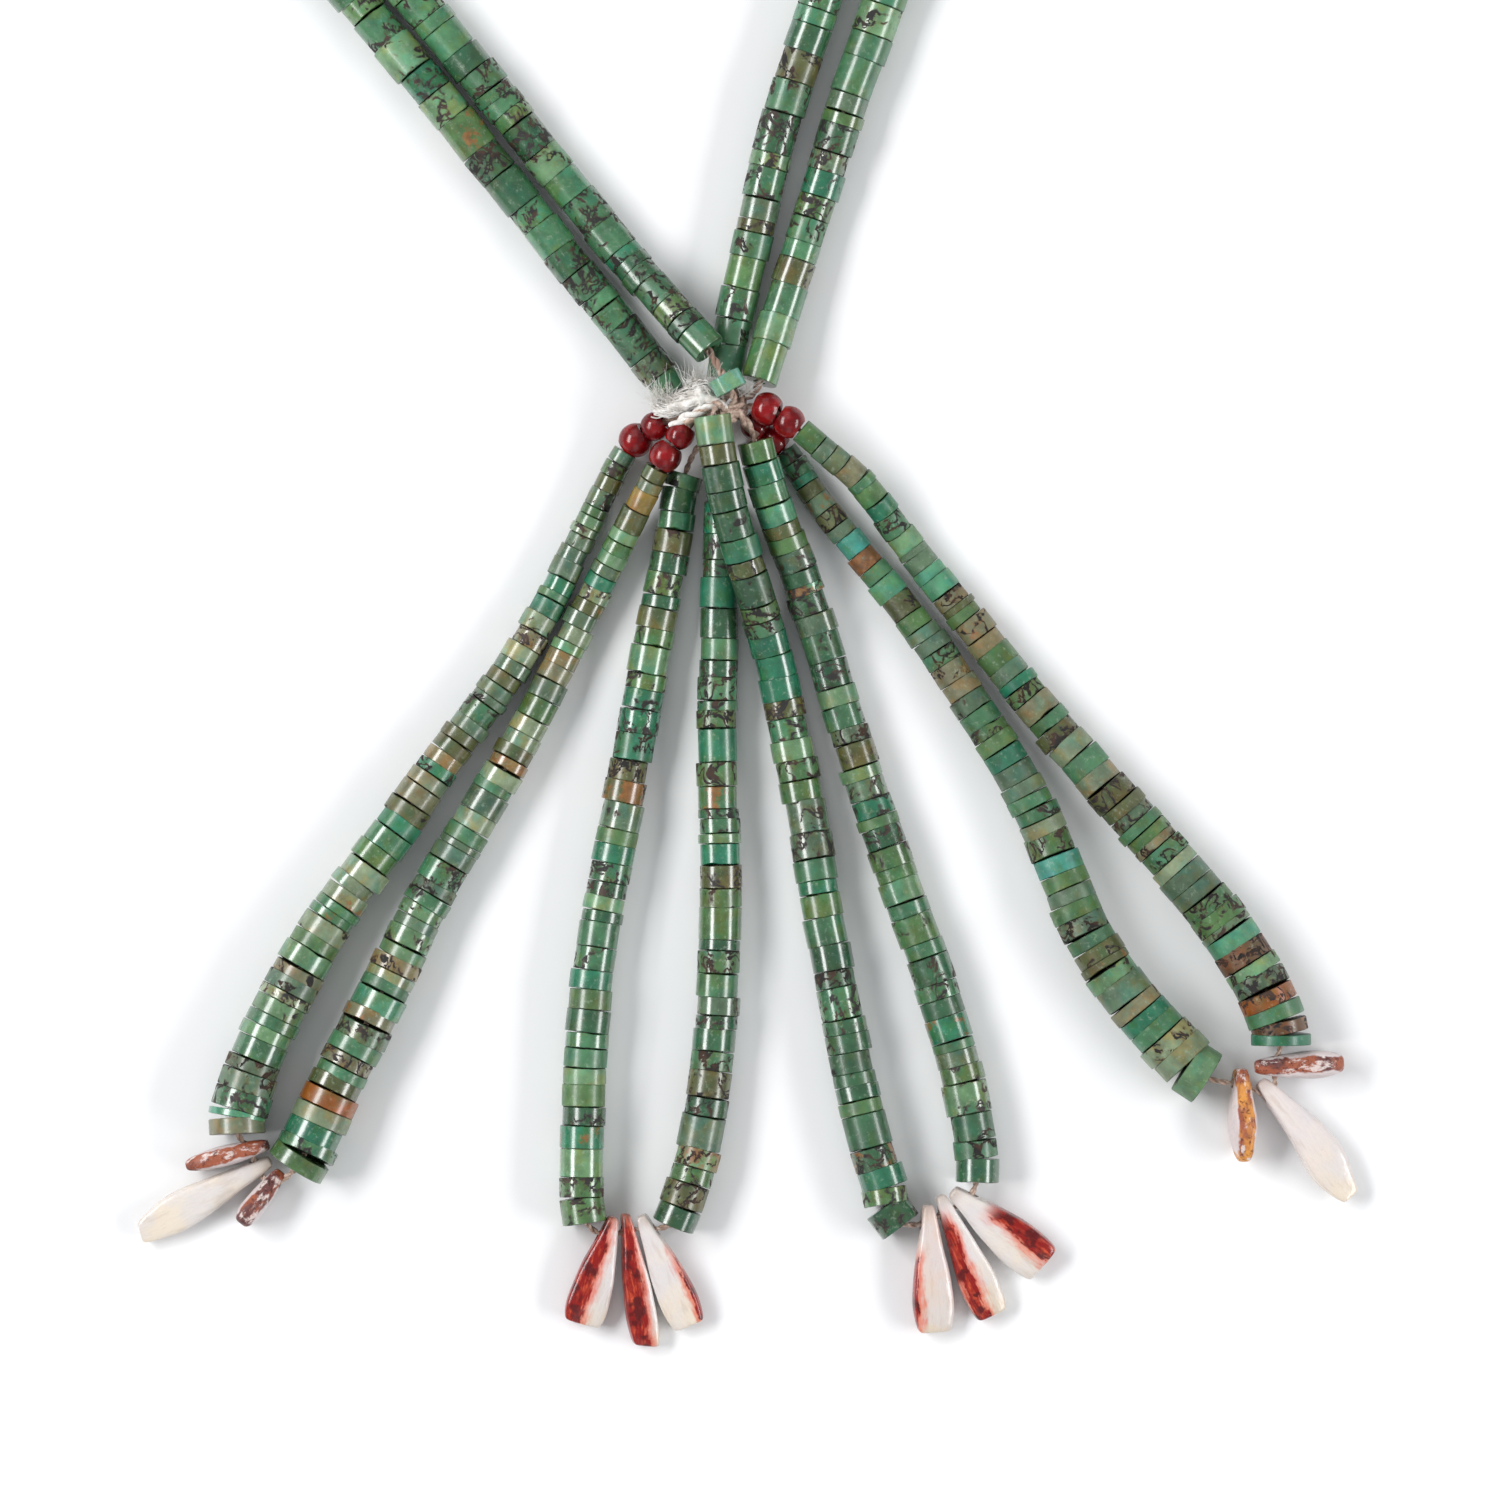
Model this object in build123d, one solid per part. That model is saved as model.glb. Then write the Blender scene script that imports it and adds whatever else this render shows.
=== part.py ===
"""Double-strand necklace of drilled stone discs with four pendant loops, lying flat on a surface.

Millimetres. +X runs to the right, +Y from the shell tabs to the back of the neck, +Z up off the surface.
Routes are laid out from the knot. At the end all pieces are moved together, so that the origin is the
middle of the underside.
"""

from build123d import *
from dataclasses import dataclass
import math
import os
import random

# Main strands: diameters of the discs at the back of the neck and beside the knot
STRAND_DIAMETER = 6.5
STRAND_KNOT_DIAMETER = 5.7
STRAND_DISC_LENGTH = 4.6
STRAND_SPACING = 8.4
NECK_RADIUS = 96.0
NECK_CORNERS = 8
NECK_BOW = 2.0

# Pendant loops: diameters of the discs at the top and at the foot of a leg
INNER_LOOP_TOP_DIAMETER = 5.8
INNER_LOOP_FOOT_DIAMETER = 6.9
INNER_LOOP_DISC_LENGTH = 3.5
OUTER_LOOP_TOP_DIAMETER = 3.9
OUTER_LOOP_FOOT_DIAMETER = 9.2
TUBE_SECTIONS = 12
TUBE_EASE = 0.13

# Shared by all the discs
DISC_CLEARANCE = 0.14
RIM_EASE = 0.25
LENGTH_SPREAD = 0.38
DIAMETER_SPREAD = 0.06

# Threads and the holes that they pass through
STRAND_THREAD_DIAMETER = 1.2
STRAND_BORE_DIAMETER = 2.0
LOOP_THREAD_DIAMETER = 0.9
LOOP_BORE_DIAMETER = 2.1
TAB_BORE_DIAMETER = 1.6
ARC_SHARE = 0.45

# Red glass beads and the single small disc that sits on the knot
GLASS_DIAMETER = 4.4
GLASS_LENGTH = 3.3
GLASS_BORE_DIAMETER = 1.8
KNOT_DISC_DIAMETER = 4.5
KNOT_DISC_LENGTH = 2.7

# Knot of twine and the tuft of cotton beside it
KNOT_CENTRE = (2.2, -0.7, 4.5)
KNOT_CORE_DIAMETER = 4.0
KNOT_TURN_DIAMETER = 3.5
TWINE_DIAMETER = 1.2
TUFT_THICKNESS = 2.1
TUFT_CLEARANCE = 0.7

# Shell tabs
TAB_SEAT = 0.05
TAB_CORNER_SHARE = 0.3
TAB_WIDEST = 0.86


@dataclass(frozen=True)
class Stringing:
    """Discs of one stretch of thread: diameters at its first and last disc, and their usual length."""

    first_diameter: float
    last_diameter: float
    disc_length: float

    def radius(self, share):
        """Radius of the widest disc at a share of the stretch."""
        return (self.first_diameter + (self.last_diameter - self.first_diameter) * share) / 2

    def turned(self):
        """The same discs, met from the other end."""
        return Stringing(self.last_diameter, self.first_diameter, self.disc_length)


@dataclass(frozen=True)
class Tab:
    """A shell tab: where it is drilled, the way it points, how far it leans over, its size and sections."""

    hole: tuple
    heading: float
    roll: float
    length: float
    width: float
    thickness: float
    hole_drop: float
    sections: tuple


STRAND = Stringing(STRAND_KNOT_DIAMETER, STRAND_DIAMETER, STRAND_DISC_LENGTH)
INNER_LEG = Stringing(INNER_LOOP_TOP_DIAMETER, INNER_LOOP_FOOT_DIAMETER, INNER_LOOP_DISC_LENGTH)
OUTER_LEG = Stringing(OUTER_LOOP_TOP_DIAMETER, OUTER_LOOP_FOOT_DIAMETER, INNER_LOOP_DISC_LENGTH)

# Chosen points of the routes from the knot. A stretch with discs on it gives X, Y and how far the discs
# are lifted off the surface where they lie over others. A bare stretch of thread gives X, Y and Z.
OUTER_LEFT_FRONT = [(-6.1, 1.0, 0), (-9.0, 4.6, 0), (-21.8, 20.6, 0), (-34.8, 37.0, 0), (-46.3, 51.2, 0)]
OUTER_RIGHT_FRONT = [(6.8, 2.6, 3.2), (9.8, 13.2, 0.9), (14.2, 26.1, 0), (18.0, 38.8, 0), (23.2, 54.0, 0)]
INNER_LEFT_FRONT = [(-0.8, 7.2, 5.5), (-3.4, 10.0, 4.7), (-11.9, 19.4, 0.6), (-23.3, 33.5, 0), (-37, 50.8, 0)]
INNER_RIGHT_FRONT = [(1.7, 3.2, 0), (2.9, 12.4, 0), (5.8, 24.4, 0), (8.8, 38.0, 0), (12.9, 52.2, 0)]

OUTER_LEFT_TAIL = [(-0.35, -0.35, 4.0), (-2.6, -0.9, 3.6)]
OUTER_RIGHT_TAIL = [(4.2, 0.55, 5.2), (5.5, 0.3, 5.7)]
INNER_LEFT_TAIL = [(2.75, -0.6, 7.0), (2.9, 0.3, 9.2), (1.9, 2.4, 9.9), (0.6, 4.6, 9.0)]
INNER_RIGHT_TAIL = [(2.0, 1.7, 3.4), (1.55, 2.2, 2.9)]

LOOP_1_OUTER = [
    (-13.7, -7.7, 1.1), (-19.8, -20.2, 0), (-25.1, -31.3, 0), (-31.7, -42.2, 0), (-40.8, -53.9, 0),
    (-48.6, -65.4, 0), (-57.4, -76.9, 0), (-62.9, -86.6, 0), (-67.9, -96.4, 0), (-71.3, -105.6, 0),
    (-71.9, -110.2, 0),
]
LOOP_1_INNER = [
    (-8.6, -10.3, 4.9), (-12.8, -18.9, 2.4), (-17.9, -28.6, 0), (-23.5, -40.0, 0), (-28.7, -50.6, 0),
    (-36.2, -63.3, 0), (-43.1, -74.9, 0), (-47.4, -83.6, 0), (-52.2, -93.4, 0), (-57.3, -103.4, 0),
    (-60.6, -111.0, 0), (-62.7, -115.4, 0),
]
LOOP_2_LEFT = [
    (-4.9, -11.1, 0), (-6.9, -24.0, 0), (-9.6, -37.0, 0), (-11.7, -49.6, 0), (-14.3, -63.5, 0),
    (-17.3, -78.4, 0), (-19.3, -93.5, 0), (-19.9, -108.0, 0), (-20.0, -117.0, 0), (-19.8, -123.6, 0),
]
LOOP_2_RIGHT = [
    (1.1, -15.4, 0), (0.7, -29.0, 0), (0.3, -46.2, 0), (0.6, -64.0, 0), (0.9, -82.0, 0),
    (-0.2, -100.0, 0), (-2.4, -112.6, 0), (-5.4, -122.2, 0), (-6.4, -123.9, 0),
]
LOOP_3_LEFT = [
    (-0.3, -2.4, 7.7), (0.7, -9.4, 7.2), (2.6, -18.4, 6.0), (5.8, -28.7, 3.9), (9.0, -39.6, 0.7),
    (11.3, -50.5, 0), (13.8, -62.6, 0), (15.8, -75.2, 0), (18.0, -87.0, 0), (20.3, -99.2, 0),
    (23.2, -111.1, 0), (25.5, -118.4, 0), (26.0, -121.8, 0), (28.2, -123.9, 0),
]
LOOP_3_RIGHT = [
    (5.9, -6.2, 4.6), (7.8, -13.2, 3.8), (12.0, -24.8, 0.9), (16.3, -36.9, 0), (19.7, -48.9, 0),
    (24.2, -62.4, 0), (29.0, -76.0, 0), (33.0, -87.2, 0), (36.8, -99.4, 0), (39.0, -110.4, 0),
    (39.5, -117.4, 0),
]
LOOP_4_INNER = [
    (10.6, -7.4, 0), (15.1, -14.4, 0), (21.0, -22.1, 0), (27.9, -30.3, 0), (34.4, -39.4, 0),
    (41.1, -49.8, 0), (47.5, -60.1, 0), (51.9, -70.5, 0), (55.9, -80.6, 0), (62.0, -89.6, 0),
    (69.6, -98.3, 0), (73.6, -102.0, 0),
]
LOOP_4_OUTER = [
    (12.75, -4.6, 4.4), (17.4, -8.4, 3.6), (23.3, -13.7, 2.0), (29.5, -22.7, 0), (36.9, -31.6, 0),
    (44.3, -41.2, 0), (52.1, -50.6, 0), (60.0, -59.9, 0), (68.2, -68.9, 0), (75.2, -77.4, 0),
    (81.4, -86.2, 0), (84.4, -92.6, 0), (84.9, -96.8, 0),
]

LOOP_1_OUTER_TAIL = [(-0.2, -1.25, 5.1), (-4.4, -2.1, 5.5), (-9.1, -3.9, 5.1), (-11.9, -6.0, 3.4)]
LOOP_1_INNER_TAIL = [(0.55, -1.5, 6.15), (-2.6, -2.9, 7.0), (-5.3, -5.3, 7.2), (-7.4, -8.5, 7.2)]
LOOP_2_LEFT_TAIL = [(0.6, -2.45, 3.9), (-1.6, -5.2, 3.2)]
LOOP_2_RIGHT_TAIL = [(1.9, -3.1, 4.1), (1.8, -8.6, 3.3)]
LOOP_3_LEFT_TAIL = [(1.1, -0.95, 6.75), (0.1, -1.0, 9.4)]
LOOP_3_RIGHT_TAIL = [(3.45, -2.3, 5.8), (5.3, -3.9, 6.8)]
LOOP_4_INNER_TAIL = [(4.1, -2.1, 3.5), (5.9, -3.8, 2.4), (8.9, -6.0, 2.4)]
LOOP_4_OUTER_TAIL = [(4.6, -0.9, 5.3), (7.9, -1.1, 6.4), (11.1, -3.4, 6.4)]

# Which glass bead sits at which point of which tail
GLASS_SEATS = {
    "loop_1_outer": (2, 3),
    "loop_1_inner": (2, 3),
    "loop_4_inner": (1, 2),
    "loop_4_outer": (1, 2),
}
KNOT_DISC_SEAT = 2

# Sections of a tab from its drilled end to its tip, as shares of its length, width and thickness. A slab
# is drilled through its faces and a fan from edge to edge.
SLAB = (
    (0.00, 0.24, 0.34),
    (0.05, 0.44, 0.56),
    (0.30, 0.62, 0.80),
    (0.62, 0.92, 1.00),
    (0.86, 1.00, 1.00),
    (0.96, 0.88, 0.90),
    (1.00, 0.62, 0.62),
)
FAN = (
    (0.00, 0.20, 0.62),
    (0.05, 0.31, 0.84),
    (0.16, 0.42, 0.92),
    (0.38, 0.68, 1.00),
    (0.62, 0.92, 1.00),
    (0.86, 1.00, 1.00),
    (0.97, 0.90, 0.84),
    (1.00, 0.72, 0.64),
)

TABS = {
    "loop_1": [
        Tab((-69.5, -112.3, 4.4), 195, 4, 13.0, 6.0, 3.4, 3.0, SLAB),
        Tab((-68.9, -115.2, 1.8), 209, 78, 22.6, 6.3, 3.0, 2.4, FAN),
        Tab((-66.6, -118.3, 3.3), 232, 0, 10.0, 6.2, 3.5, 2.4, SLAB),
    ],
    "loop_2": [
        Tab((-16.05, -125.8, 3.4), 253.2, 84, 17.0, 6.6, 3.2, 3.0, FAN),
        Tab((-13.1, -124.3, 3.4), 279.0, 80, 20.4, 4.7, 3.3, 2.6, FAN),
        Tab((-10.1, -124.5, 3.4), 293.6, -82, 18.4, 6.0, 3.1, 2.4, FAN),
    ],
    "loop_3": [
        Tab((32.1, -123.5, 3.4), 273.2, 80, 19.4, 6.2, 3.2, 2.6, FAN),
        Tab((34.6, -121.5, 3.4), 293.8, 82, 20.0, 5.8, 3.1, 2.6, FAN),
        Tab((37.7, -120.4, 3.4), 321.0, -80, 18.0, 7.4, 3.2, 2.6, FAN),
    ],
    "loop_4": [
        Tab((79.0, -102.6, 3.6), 272.4, -12, 14.1, 6.6, 4.0, 2.6, SLAB),
        Tab((84.0, -105.1, 2.1), 310.6, 76, 22.3, 6.9, 3.2, 2.6, FAN),
        Tab((83.9, -99.8, 3.6), 2.5, 0, 13.5, 6.6, 4.2, 3.2, SLAB),
    ],
}

# Sections of the cotton tuft: X, Y, width across and share of its thickness
TUFT_SECTIONS = [
    (-9.0, -1.2, 1.2, 0.45),
    (-7.2, -1.1, 2.4, 0.90),
    (-5.0, -0.6, 2.8, 1.00),
    (-3.2, 0.4, 3.4, 1.00),
    (-1.6, 0.9, 2.6, 0.90),
    (-0.6, 0.7, 1.4, 0.50),
]


def corner_radii(points):
    """Radius at each corner of a route, as large as its two runs allow."""
    radii = []
    for before, here, after in zip(points, points[1:], points[2:]):
        arriving = Vector(here) - Vector(before)
        leaving = Vector(after) - Vector(here)
        half_turn = math.radians(arriving.get_angle(leaving)) / 2
        radii.append(ARC_SHARE * min(arriving.length, leaving.length) / math.tan(half_turn))
    return radii


def route(points):
    """Straight runs joined by tangent arcs."""
    return Wire(FilletPolyline(*points, radius=corner_radii(points)).edges())


def laid(points, stringing):
    """Points of a stretch with discs, raised so that the discs rest on the surface or on their lift."""
    along = [0.0]
    for here, after in zip(points, points[1:]):
        along.append(along[-1] + math.dist(here[:2], after[:2]))
    return [
        (x, y, stringing.radius(distance / along[-1]) + lift)
        for (x, y, lift), distance in zip(points, along)
    ]


def reach(line, point):
    """Length along a line to the place nearest to a point."""
    nearest, _ = line.closest_points(Vertex(*Vector(point)))
    return line.param_at_point(nearest) * line.length


def place(line, distance):
    """Point of a line at a length along it."""
    return line.position_at(distance, PositionMode.LENGTH)


def heading(line, distance):
    """Direction of a line at a length along it."""
    return line.tangent_at(distance, PositionMode.LENGTH)


def across(line, distance):
    """Plane square to a line at a length along it, with its X direction level."""
    direction = heading(line, distance)
    return Plane(place(line, distance), x_dir=Vector(0, 0, 1).cross(direction), z_dir=direction)


def drilled_disc(radius, length, bore_radius):
    """Disc bead with eased rims and a hole along its axis."""
    half = length / 2
    ease = min(RIM_EASE, length / 4)
    outline = Polyline(
        (bore_radius, -half),
        (radius - ease, -half),
        (radius, -half + ease),
        (radius, half - ease),
        (radius - ease, half),
        (bore_radius, half),
        close=True,
    )
    return revolve(Plane.XZ * make_face(outline), Axis.Z)


def glass_bead():
    """Round glass bead, a little flattened along its hole."""
    body = Sphere(GLASS_DIAMETER / 2) & Cylinder(GLASS_DIAMETER, GLASS_LENGTH)
    return body - Cylinder(GLASS_BORE_DIAMETER / 2, GLASS_DIAMETER)


def strung_discs(line, start, end, stringing, bore_diameter, seed):
    """Drilled discs that fill a stretch of a line, each clear of the next."""
    draw = random.Random(seed)
    count = round((end - start) / (stringing.disc_length + DISC_CLEARANCE))
    lengths = [draw.uniform(1 - LENGTH_SPREAD, 1 + LENGTH_SPREAD) for _ in range(count)]
    widths = [draw.uniform(1 - DIAMETER_SPREAD, 1) for _ in range(count)]
    gaps = [DISC_CLEARANCE] * count
    for _ in range(3):
        scale = (end - start - sum(gaps)) / sum(lengths)
        lengths = [length * scale for length in lengths]
        middles = []
        edge = start
        for length, gap in zip(lengths, gaps):
            middles.append(edge + length / 2)
            edge += length + gap
        directions = [heading(line, middle) for middle in middles]
        for i in range(count - 1):
            turn = math.radians(directions[i].get_angle(directions[i + 1]))
            radius = stringing.radius((middles[i] - start) / (end - start))
            gaps[i] = DISC_CLEARANCE + radius * turn
    return [
        across(line, middle)
        * drilled_disc(
            stringing.radius((middle - start) / (end - start)) * width, length, bore_diameter / 2
        )
        for middle, length, width in zip(middles, lengths, widths)
    ]


def plain_tube(line, start, end, diameter):
    """Round tube of one diameter along part of a line."""
    part = line.trim(start / line.length, end / line.length)
    return sweep(across(part, 0) * Circle(diameter / 2), path=part)


def tapered_tube(line, start, end, stringing):
    """Round tube along part of a line that widens as its discs do."""
    sections = []
    for i in range(TUBE_SECTIONS + 1):
        share = i / TUBE_SECTIONS
        plane = across(line, start + (end - start) * share)
        sections.append(plane * Circle(stringing.radius(share) - TUBE_EASE))
    return loft(sections, ruled=True)


def shell_tab(tab, line):
    """Shell tab hung on a line by the hole near its narrow end, its tip resting on the surface."""
    roll = math.radians(tab.roll)
    eased = TAB_CORNER_SHARE * tab.thickness
    half_height = eased + (tab.width / 2 - eased) * math.cos(roll)
    half_height += (tab.thickness / 2 - eased) * abs(math.sin(roll))
    hole_at = reach(line, tab.hole)
    hole = place(line, hole_at)
    below = TAB_WIDEST * tab.length - tab.hole_drop
    fall = math.asin((hole.Z - half_height - TAB_SEAT) / below)
    turn = math.radians(tab.heading)
    down = Vector(math.cos(turn) * math.cos(fall), math.sin(turn) * math.cos(fall), -math.sin(fall))
    level = down.cross(Vector(0, 0, 1)).normalized()
    upright = level.cross(down)
    thin = level * math.cos(roll) - upright * math.sin(roll)
    top = hole - down * tab.hole_drop
    sections = []
    for along, width, thickness in tab.sections:
        plane = Plane(top + down * (along * tab.length), x_dir=thin, z_dir=down)
        thick = thickness * tab.thickness
        wide = width * tab.width
        corner = TAB_CORNER_SHARE * min(thick, wide)
        sections.append(plane * RectangleRounded(thick, wide, corner))
    drill = plain_tube(line, hole_at - tab.width, hole_at + tab.width, TAB_BORE_DIAMETER)
    return loft(sections, ruled=True) - drill


def knot_of_twine():
    """Small knot: a core with three turns of twine around it."""
    core = Sphere(KNOT_CORE_DIAMETER / 2)
    turn = Torus(KNOT_TURN_DIAMETER / 2, TWINE_DIAMETER / 2)
    turns = [Rot(0, tilt, way) * turn for tilt, way in ((20, 0), (75, 50), (70, -40))]
    return Pos(*KNOT_CENTRE) * (core + turns)


def cotton_tuft(bottom):
    """Flattened tuft of cotton, lying on the beads below it."""
    sections = []
    middle = bottom + TUFT_THICKNESS / 2
    for i, (x, y, width, thickness) in enumerate(TUFT_SECTIONS):
        before = TUFT_SECTIONS[max(i - 1, 0)]
        after = TUFT_SECTIONS[min(i + 1, len(TUFT_SECTIONS) - 1)]
        way = Vector(after[0] - before[0], after[1] - before[1], 0).normalized()
        plane = Plane((x, y, middle), x_dir=Vector(0, 0, 1).cross(way), z_dir=way)
        sections.append(plane * Ellipse(width / 2, thickness * TUFT_THICKNESS / 2))
    return loft(sections, ruled=True)


def neck_corners(radius):
    """Corners of the hidden stretch round the back of the neck, from its left end to its right."""
    left = Vector(*OUTER_LEFT_FRONT[-1][:2]) - Vector(*OUTER_LEFT_FRONT[1][:2])
    right = Vector(*OUTER_RIGHT_FRONT[-1][:2]) - Vector(*OUTER_RIGHT_FRONT[1][:2])
    left_angle = math.atan2(left.Y, left.X)
    right_angle = math.atan2(right.Y, right.X)
    half = (left_angle - right_angle) / 2
    middle = (left_angle + right_angle) / 2
    foot = Vector(*OUTER_LEFT_FRONT[1][:2])
    other = Vector(*OUTER_RIGHT_FRONT[1][:2])
    gap = other - foot
    shift = (gap.X * math.sin(right_angle) - gap.Y * math.cos(right_angle)) / math.sin(2 * half)
    apex = foot + left.normalized() * -abs(shift)
    centre = apex + Vector(math.cos(middle), math.sin(middle)) * (NECK_RADIUS / math.sin(half))
    start = left_angle + math.pi / 2
    sweep_angle = math.pi + 2 * half
    step = sweep_angle / NECK_CORNERS
    out = radius / math.cos(step / 2)
    return [
        (
            centre.X + out * math.cos(start - step * (i + 0.5)),
            centre.Y + out * math.sin(start - step * (i + 0.5)),
            0,
        )
        for i in range(NECK_CORNERS)
    ]


def bowed(here, there, side):
    """Point halfway between two others, stepped out to one side."""
    run = Vector(*there[:2]) - Vector(*here[:2])
    out = Vector(run.Y, -run.X).normalized() * (NECK_BOW * side)
    middle = (Vector(*here[:2]) + Vector(*there[:2])) * 0.5 + out
    return (middle.X, middle.Y, 0)


def strand(name, left_tail, left_front, right_front, right_tail, radius, seed):
    """One main strand: the discs on both sides of its front, the neck stretch and its thread."""
    corners = neck_corners(radius)
    left_bow = bowed(left_front[-1], corners[0], -1)
    right_bow = bowed(right_front[-1], corners[-1], 1)
    back = [(x, y, STRAND.radius(1)) for x, y, _ in [left_bow, *corners, right_bow]]
    left = laid(left_front, STRAND)
    right = laid(right_front, STRAND)
    line = route([*left_tail, *left, *back, *reversed(right), *reversed(right_tail)])
    left_start = reach(line, left[0])
    left_end = reach(line, (Vector(left[-1]) + Vector(back[0])) * 0.5)
    right_end = reach(line, (Vector(right[-1]) + Vector(back[-1])) * 0.5)
    right_start = reach(line, right[0])
    lefts = strung_discs(line, left_start, left_end, STRAND, STRAND_BORE_DIAMETER, seed)
    rights = strung_discs(line, right_end, right_start, STRAND.turned(), STRAND_BORE_DIAMETER, seed + 1)
    threads = [
        plain_tube(line, 0, left_end, STRAND_THREAD_DIAMETER),
        plain_tube(line, right_end, line.length, STRAND_THREAD_DIAMETER),
    ]
    print(name, "whole length", round(line.length, 1))
    nodes = {
        f"{name}_front": [*lefts, *rights],
        f"{name}_back": [plain_tube(line, left_end, right_end, STRAND_DIAMETER)],
        f"{name}_thread": threads,
    }
    return nodes, line


def pendant_loop(name, near_tail, near_leg, far_leg, far_tail, stringing, drilled, legs, seed):
    """One pendant loop: two legs of discs, the tabs at its foot and its thread."""
    near = laid(near_leg, stringing)
    far = laid(far_leg, stringing)
    foot = [tab.hole for tab in TABS[name]]
    line = route([*near_tail, *near, *foot, *reversed(far), *reversed(far_tail)])
    near_start = reach(line, near[0])
    near_end = reach(line, near[-1])
    far_end = reach(line, far[-1])
    far_start = reach(line, far[0])
    nodes = {}
    spans = ((near_start, near_end, stringing), (far_end, far_start, stringing.turned()))
    for i, (start, end, discs) in enumerate(spans):
        if drilled:
            solids = strung_discs(line, start, end, discs, LOOP_BORE_DIAMETER, seed + i)
        else:
            solids = [tapered_tube(line, start, end, discs)]
        nodes[f"{name}_{legs[i]}_leg"] = solids
    if drilled:
        nodes[f"{name}_thread"] = [plain_tube(line, 0, line.length, LOOP_THREAD_DIAMETER)]
    else:
        nodes[f"{name}_thread"] = [
            plain_tube(line, start, end, LOOP_THREAD_DIAMETER)
            for start, end in ((0, near_start), (near_end, far_end), (far_start, line.length))
        ]
    for i, tab in enumerate(TABS[name]):
        nodes[f"{name}_tab_{i + 1}"] = [shell_tab(tab, line)]
    print(name, "whole length", round(line.length, 1))
    return nodes, line


def glass_beads(line, points, name, first):
    """The two glass beads on one tail of a loop."""
    return {
        f"glass_bead_{first + i}": [across(line, reach(line, points[seat])) * glass_bead()]
        for i, seat in enumerate(GLASS_SEATS[name])
    }


def necklace():
    """All nodes, each a list of solids, laid out from the knot."""
    nodes = {}
    made, _ = strand(
        "outer_strand", OUTER_LEFT_TAIL, OUTER_LEFT_FRONT, OUTER_RIGHT_FRONT, OUTER_RIGHT_TAIL, NECK_RADIUS, 11
    )
    nodes.update(made)
    made, inner = strand(
        "inner_strand",
        INNER_LEFT_TAIL,
        INNER_LEFT_FRONT,
        INNER_RIGHT_FRONT,
        INNER_RIGHT_TAIL,
        NECK_RADIUS - STRAND_SPACING,
        21,
    )
    nodes.update(made)
    made, first = pendant_loop(
        "loop_1", LOOP_1_OUTER_TAIL, LOOP_1_OUTER, LOOP_1_INNER, LOOP_1_INNER_TAIL, OUTER_LEG, False,
        ("outer", "inner"), 31,
    )
    nodes.update(made)
    made, _ = pendant_loop(
        "loop_2", LOOP_2_LEFT_TAIL, LOOP_2_LEFT, LOOP_2_RIGHT, LOOP_2_RIGHT_TAIL, INNER_LEG, True,
        ("left", "right"), 41,
    )
    nodes.update(made)
    made, _ = pendant_loop(
        "loop_3", LOOP_3_LEFT_TAIL, LOOP_3_LEFT, LOOP_3_RIGHT, LOOP_3_RIGHT_TAIL, INNER_LEG, True,
        ("left", "right"), 51,
    )
    nodes.update(made)
    made, fourth = pendant_loop(
        "loop_4", LOOP_4_INNER_TAIL, LOOP_4_INNER, LOOP_4_OUTER, LOOP_4_OUTER_TAIL, OUTER_LEG, False,
        ("inner", "outer"), 61,
    )
    nodes.update(made)
    nodes.update(glass_beads(first, LOOP_1_OUTER_TAIL, "loop_1_outer", 1))
    nodes.update(glass_beads(first, LOOP_1_INNER_TAIL, "loop_1_inner", 3))
    nodes.update(glass_beads(fourth, LOOP_4_INNER_TAIL, "loop_4_inner", 5))
    nodes.update(glass_beads(fourth, LOOP_4_OUTER_TAIL, "loop_4_outer", 7))
    seat = reach(inner, INNER_LEFT_TAIL[KNOT_DISC_SEAT])
    disc = drilled_disc(KNOT_DISC_DIAMETER / 2, KNOT_DISC_LENGTH, STRAND_BORE_DIAMETER / 2)
    nodes["knot_disc"] = [across(inner, seat) * disc]
    nodes["twine_knot"] = [knot_of_twine()]
    nodes["cotton_tuft"] = [cotton_tuft(STRAND_KNOT_DIAMETER + TUFT_CLEARANCE)]
    return nodes


def main():
    """Write each node, moved so that the origin is the middle of the underside."""
    os.makedirs("parts", exist_ok=True)
    nodes = necklace()
    whole = Compound([solid for solids in nodes.values() for solid in solids]).bounding_box()
    home = Pos(-(whole.min.X + whole.max.X) / 2, -(whole.min.Y + whole.max.Y) / 2, -whole.min.Z)
    total = 0
    for name, solids in nodes.items():
        shape = Compound([home * solid for solid in solids])
        shape.label = name
        total += len(shape.solids())
        export_step(shape, f"parts/{name}.step")
    print("solids", total, "box", whole.size, "shift", home.position)


main()
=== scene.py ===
"""Looks of a double-strand necklace of drilled turquoise discs, lying on a pale surface.

Everything is laid out in millimetres from the knot, as the strands and loops are strung, and is moved
into the frame, in metres, when a piece is finished.
"""

from __future__ import annotations

import logging
import math
import random
from dataclasses import dataclass, field
from enum import Enum
from typing import Callable, Sequence

import bpy
import numpy as np
from mathutils import Matrix, Vector

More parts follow.
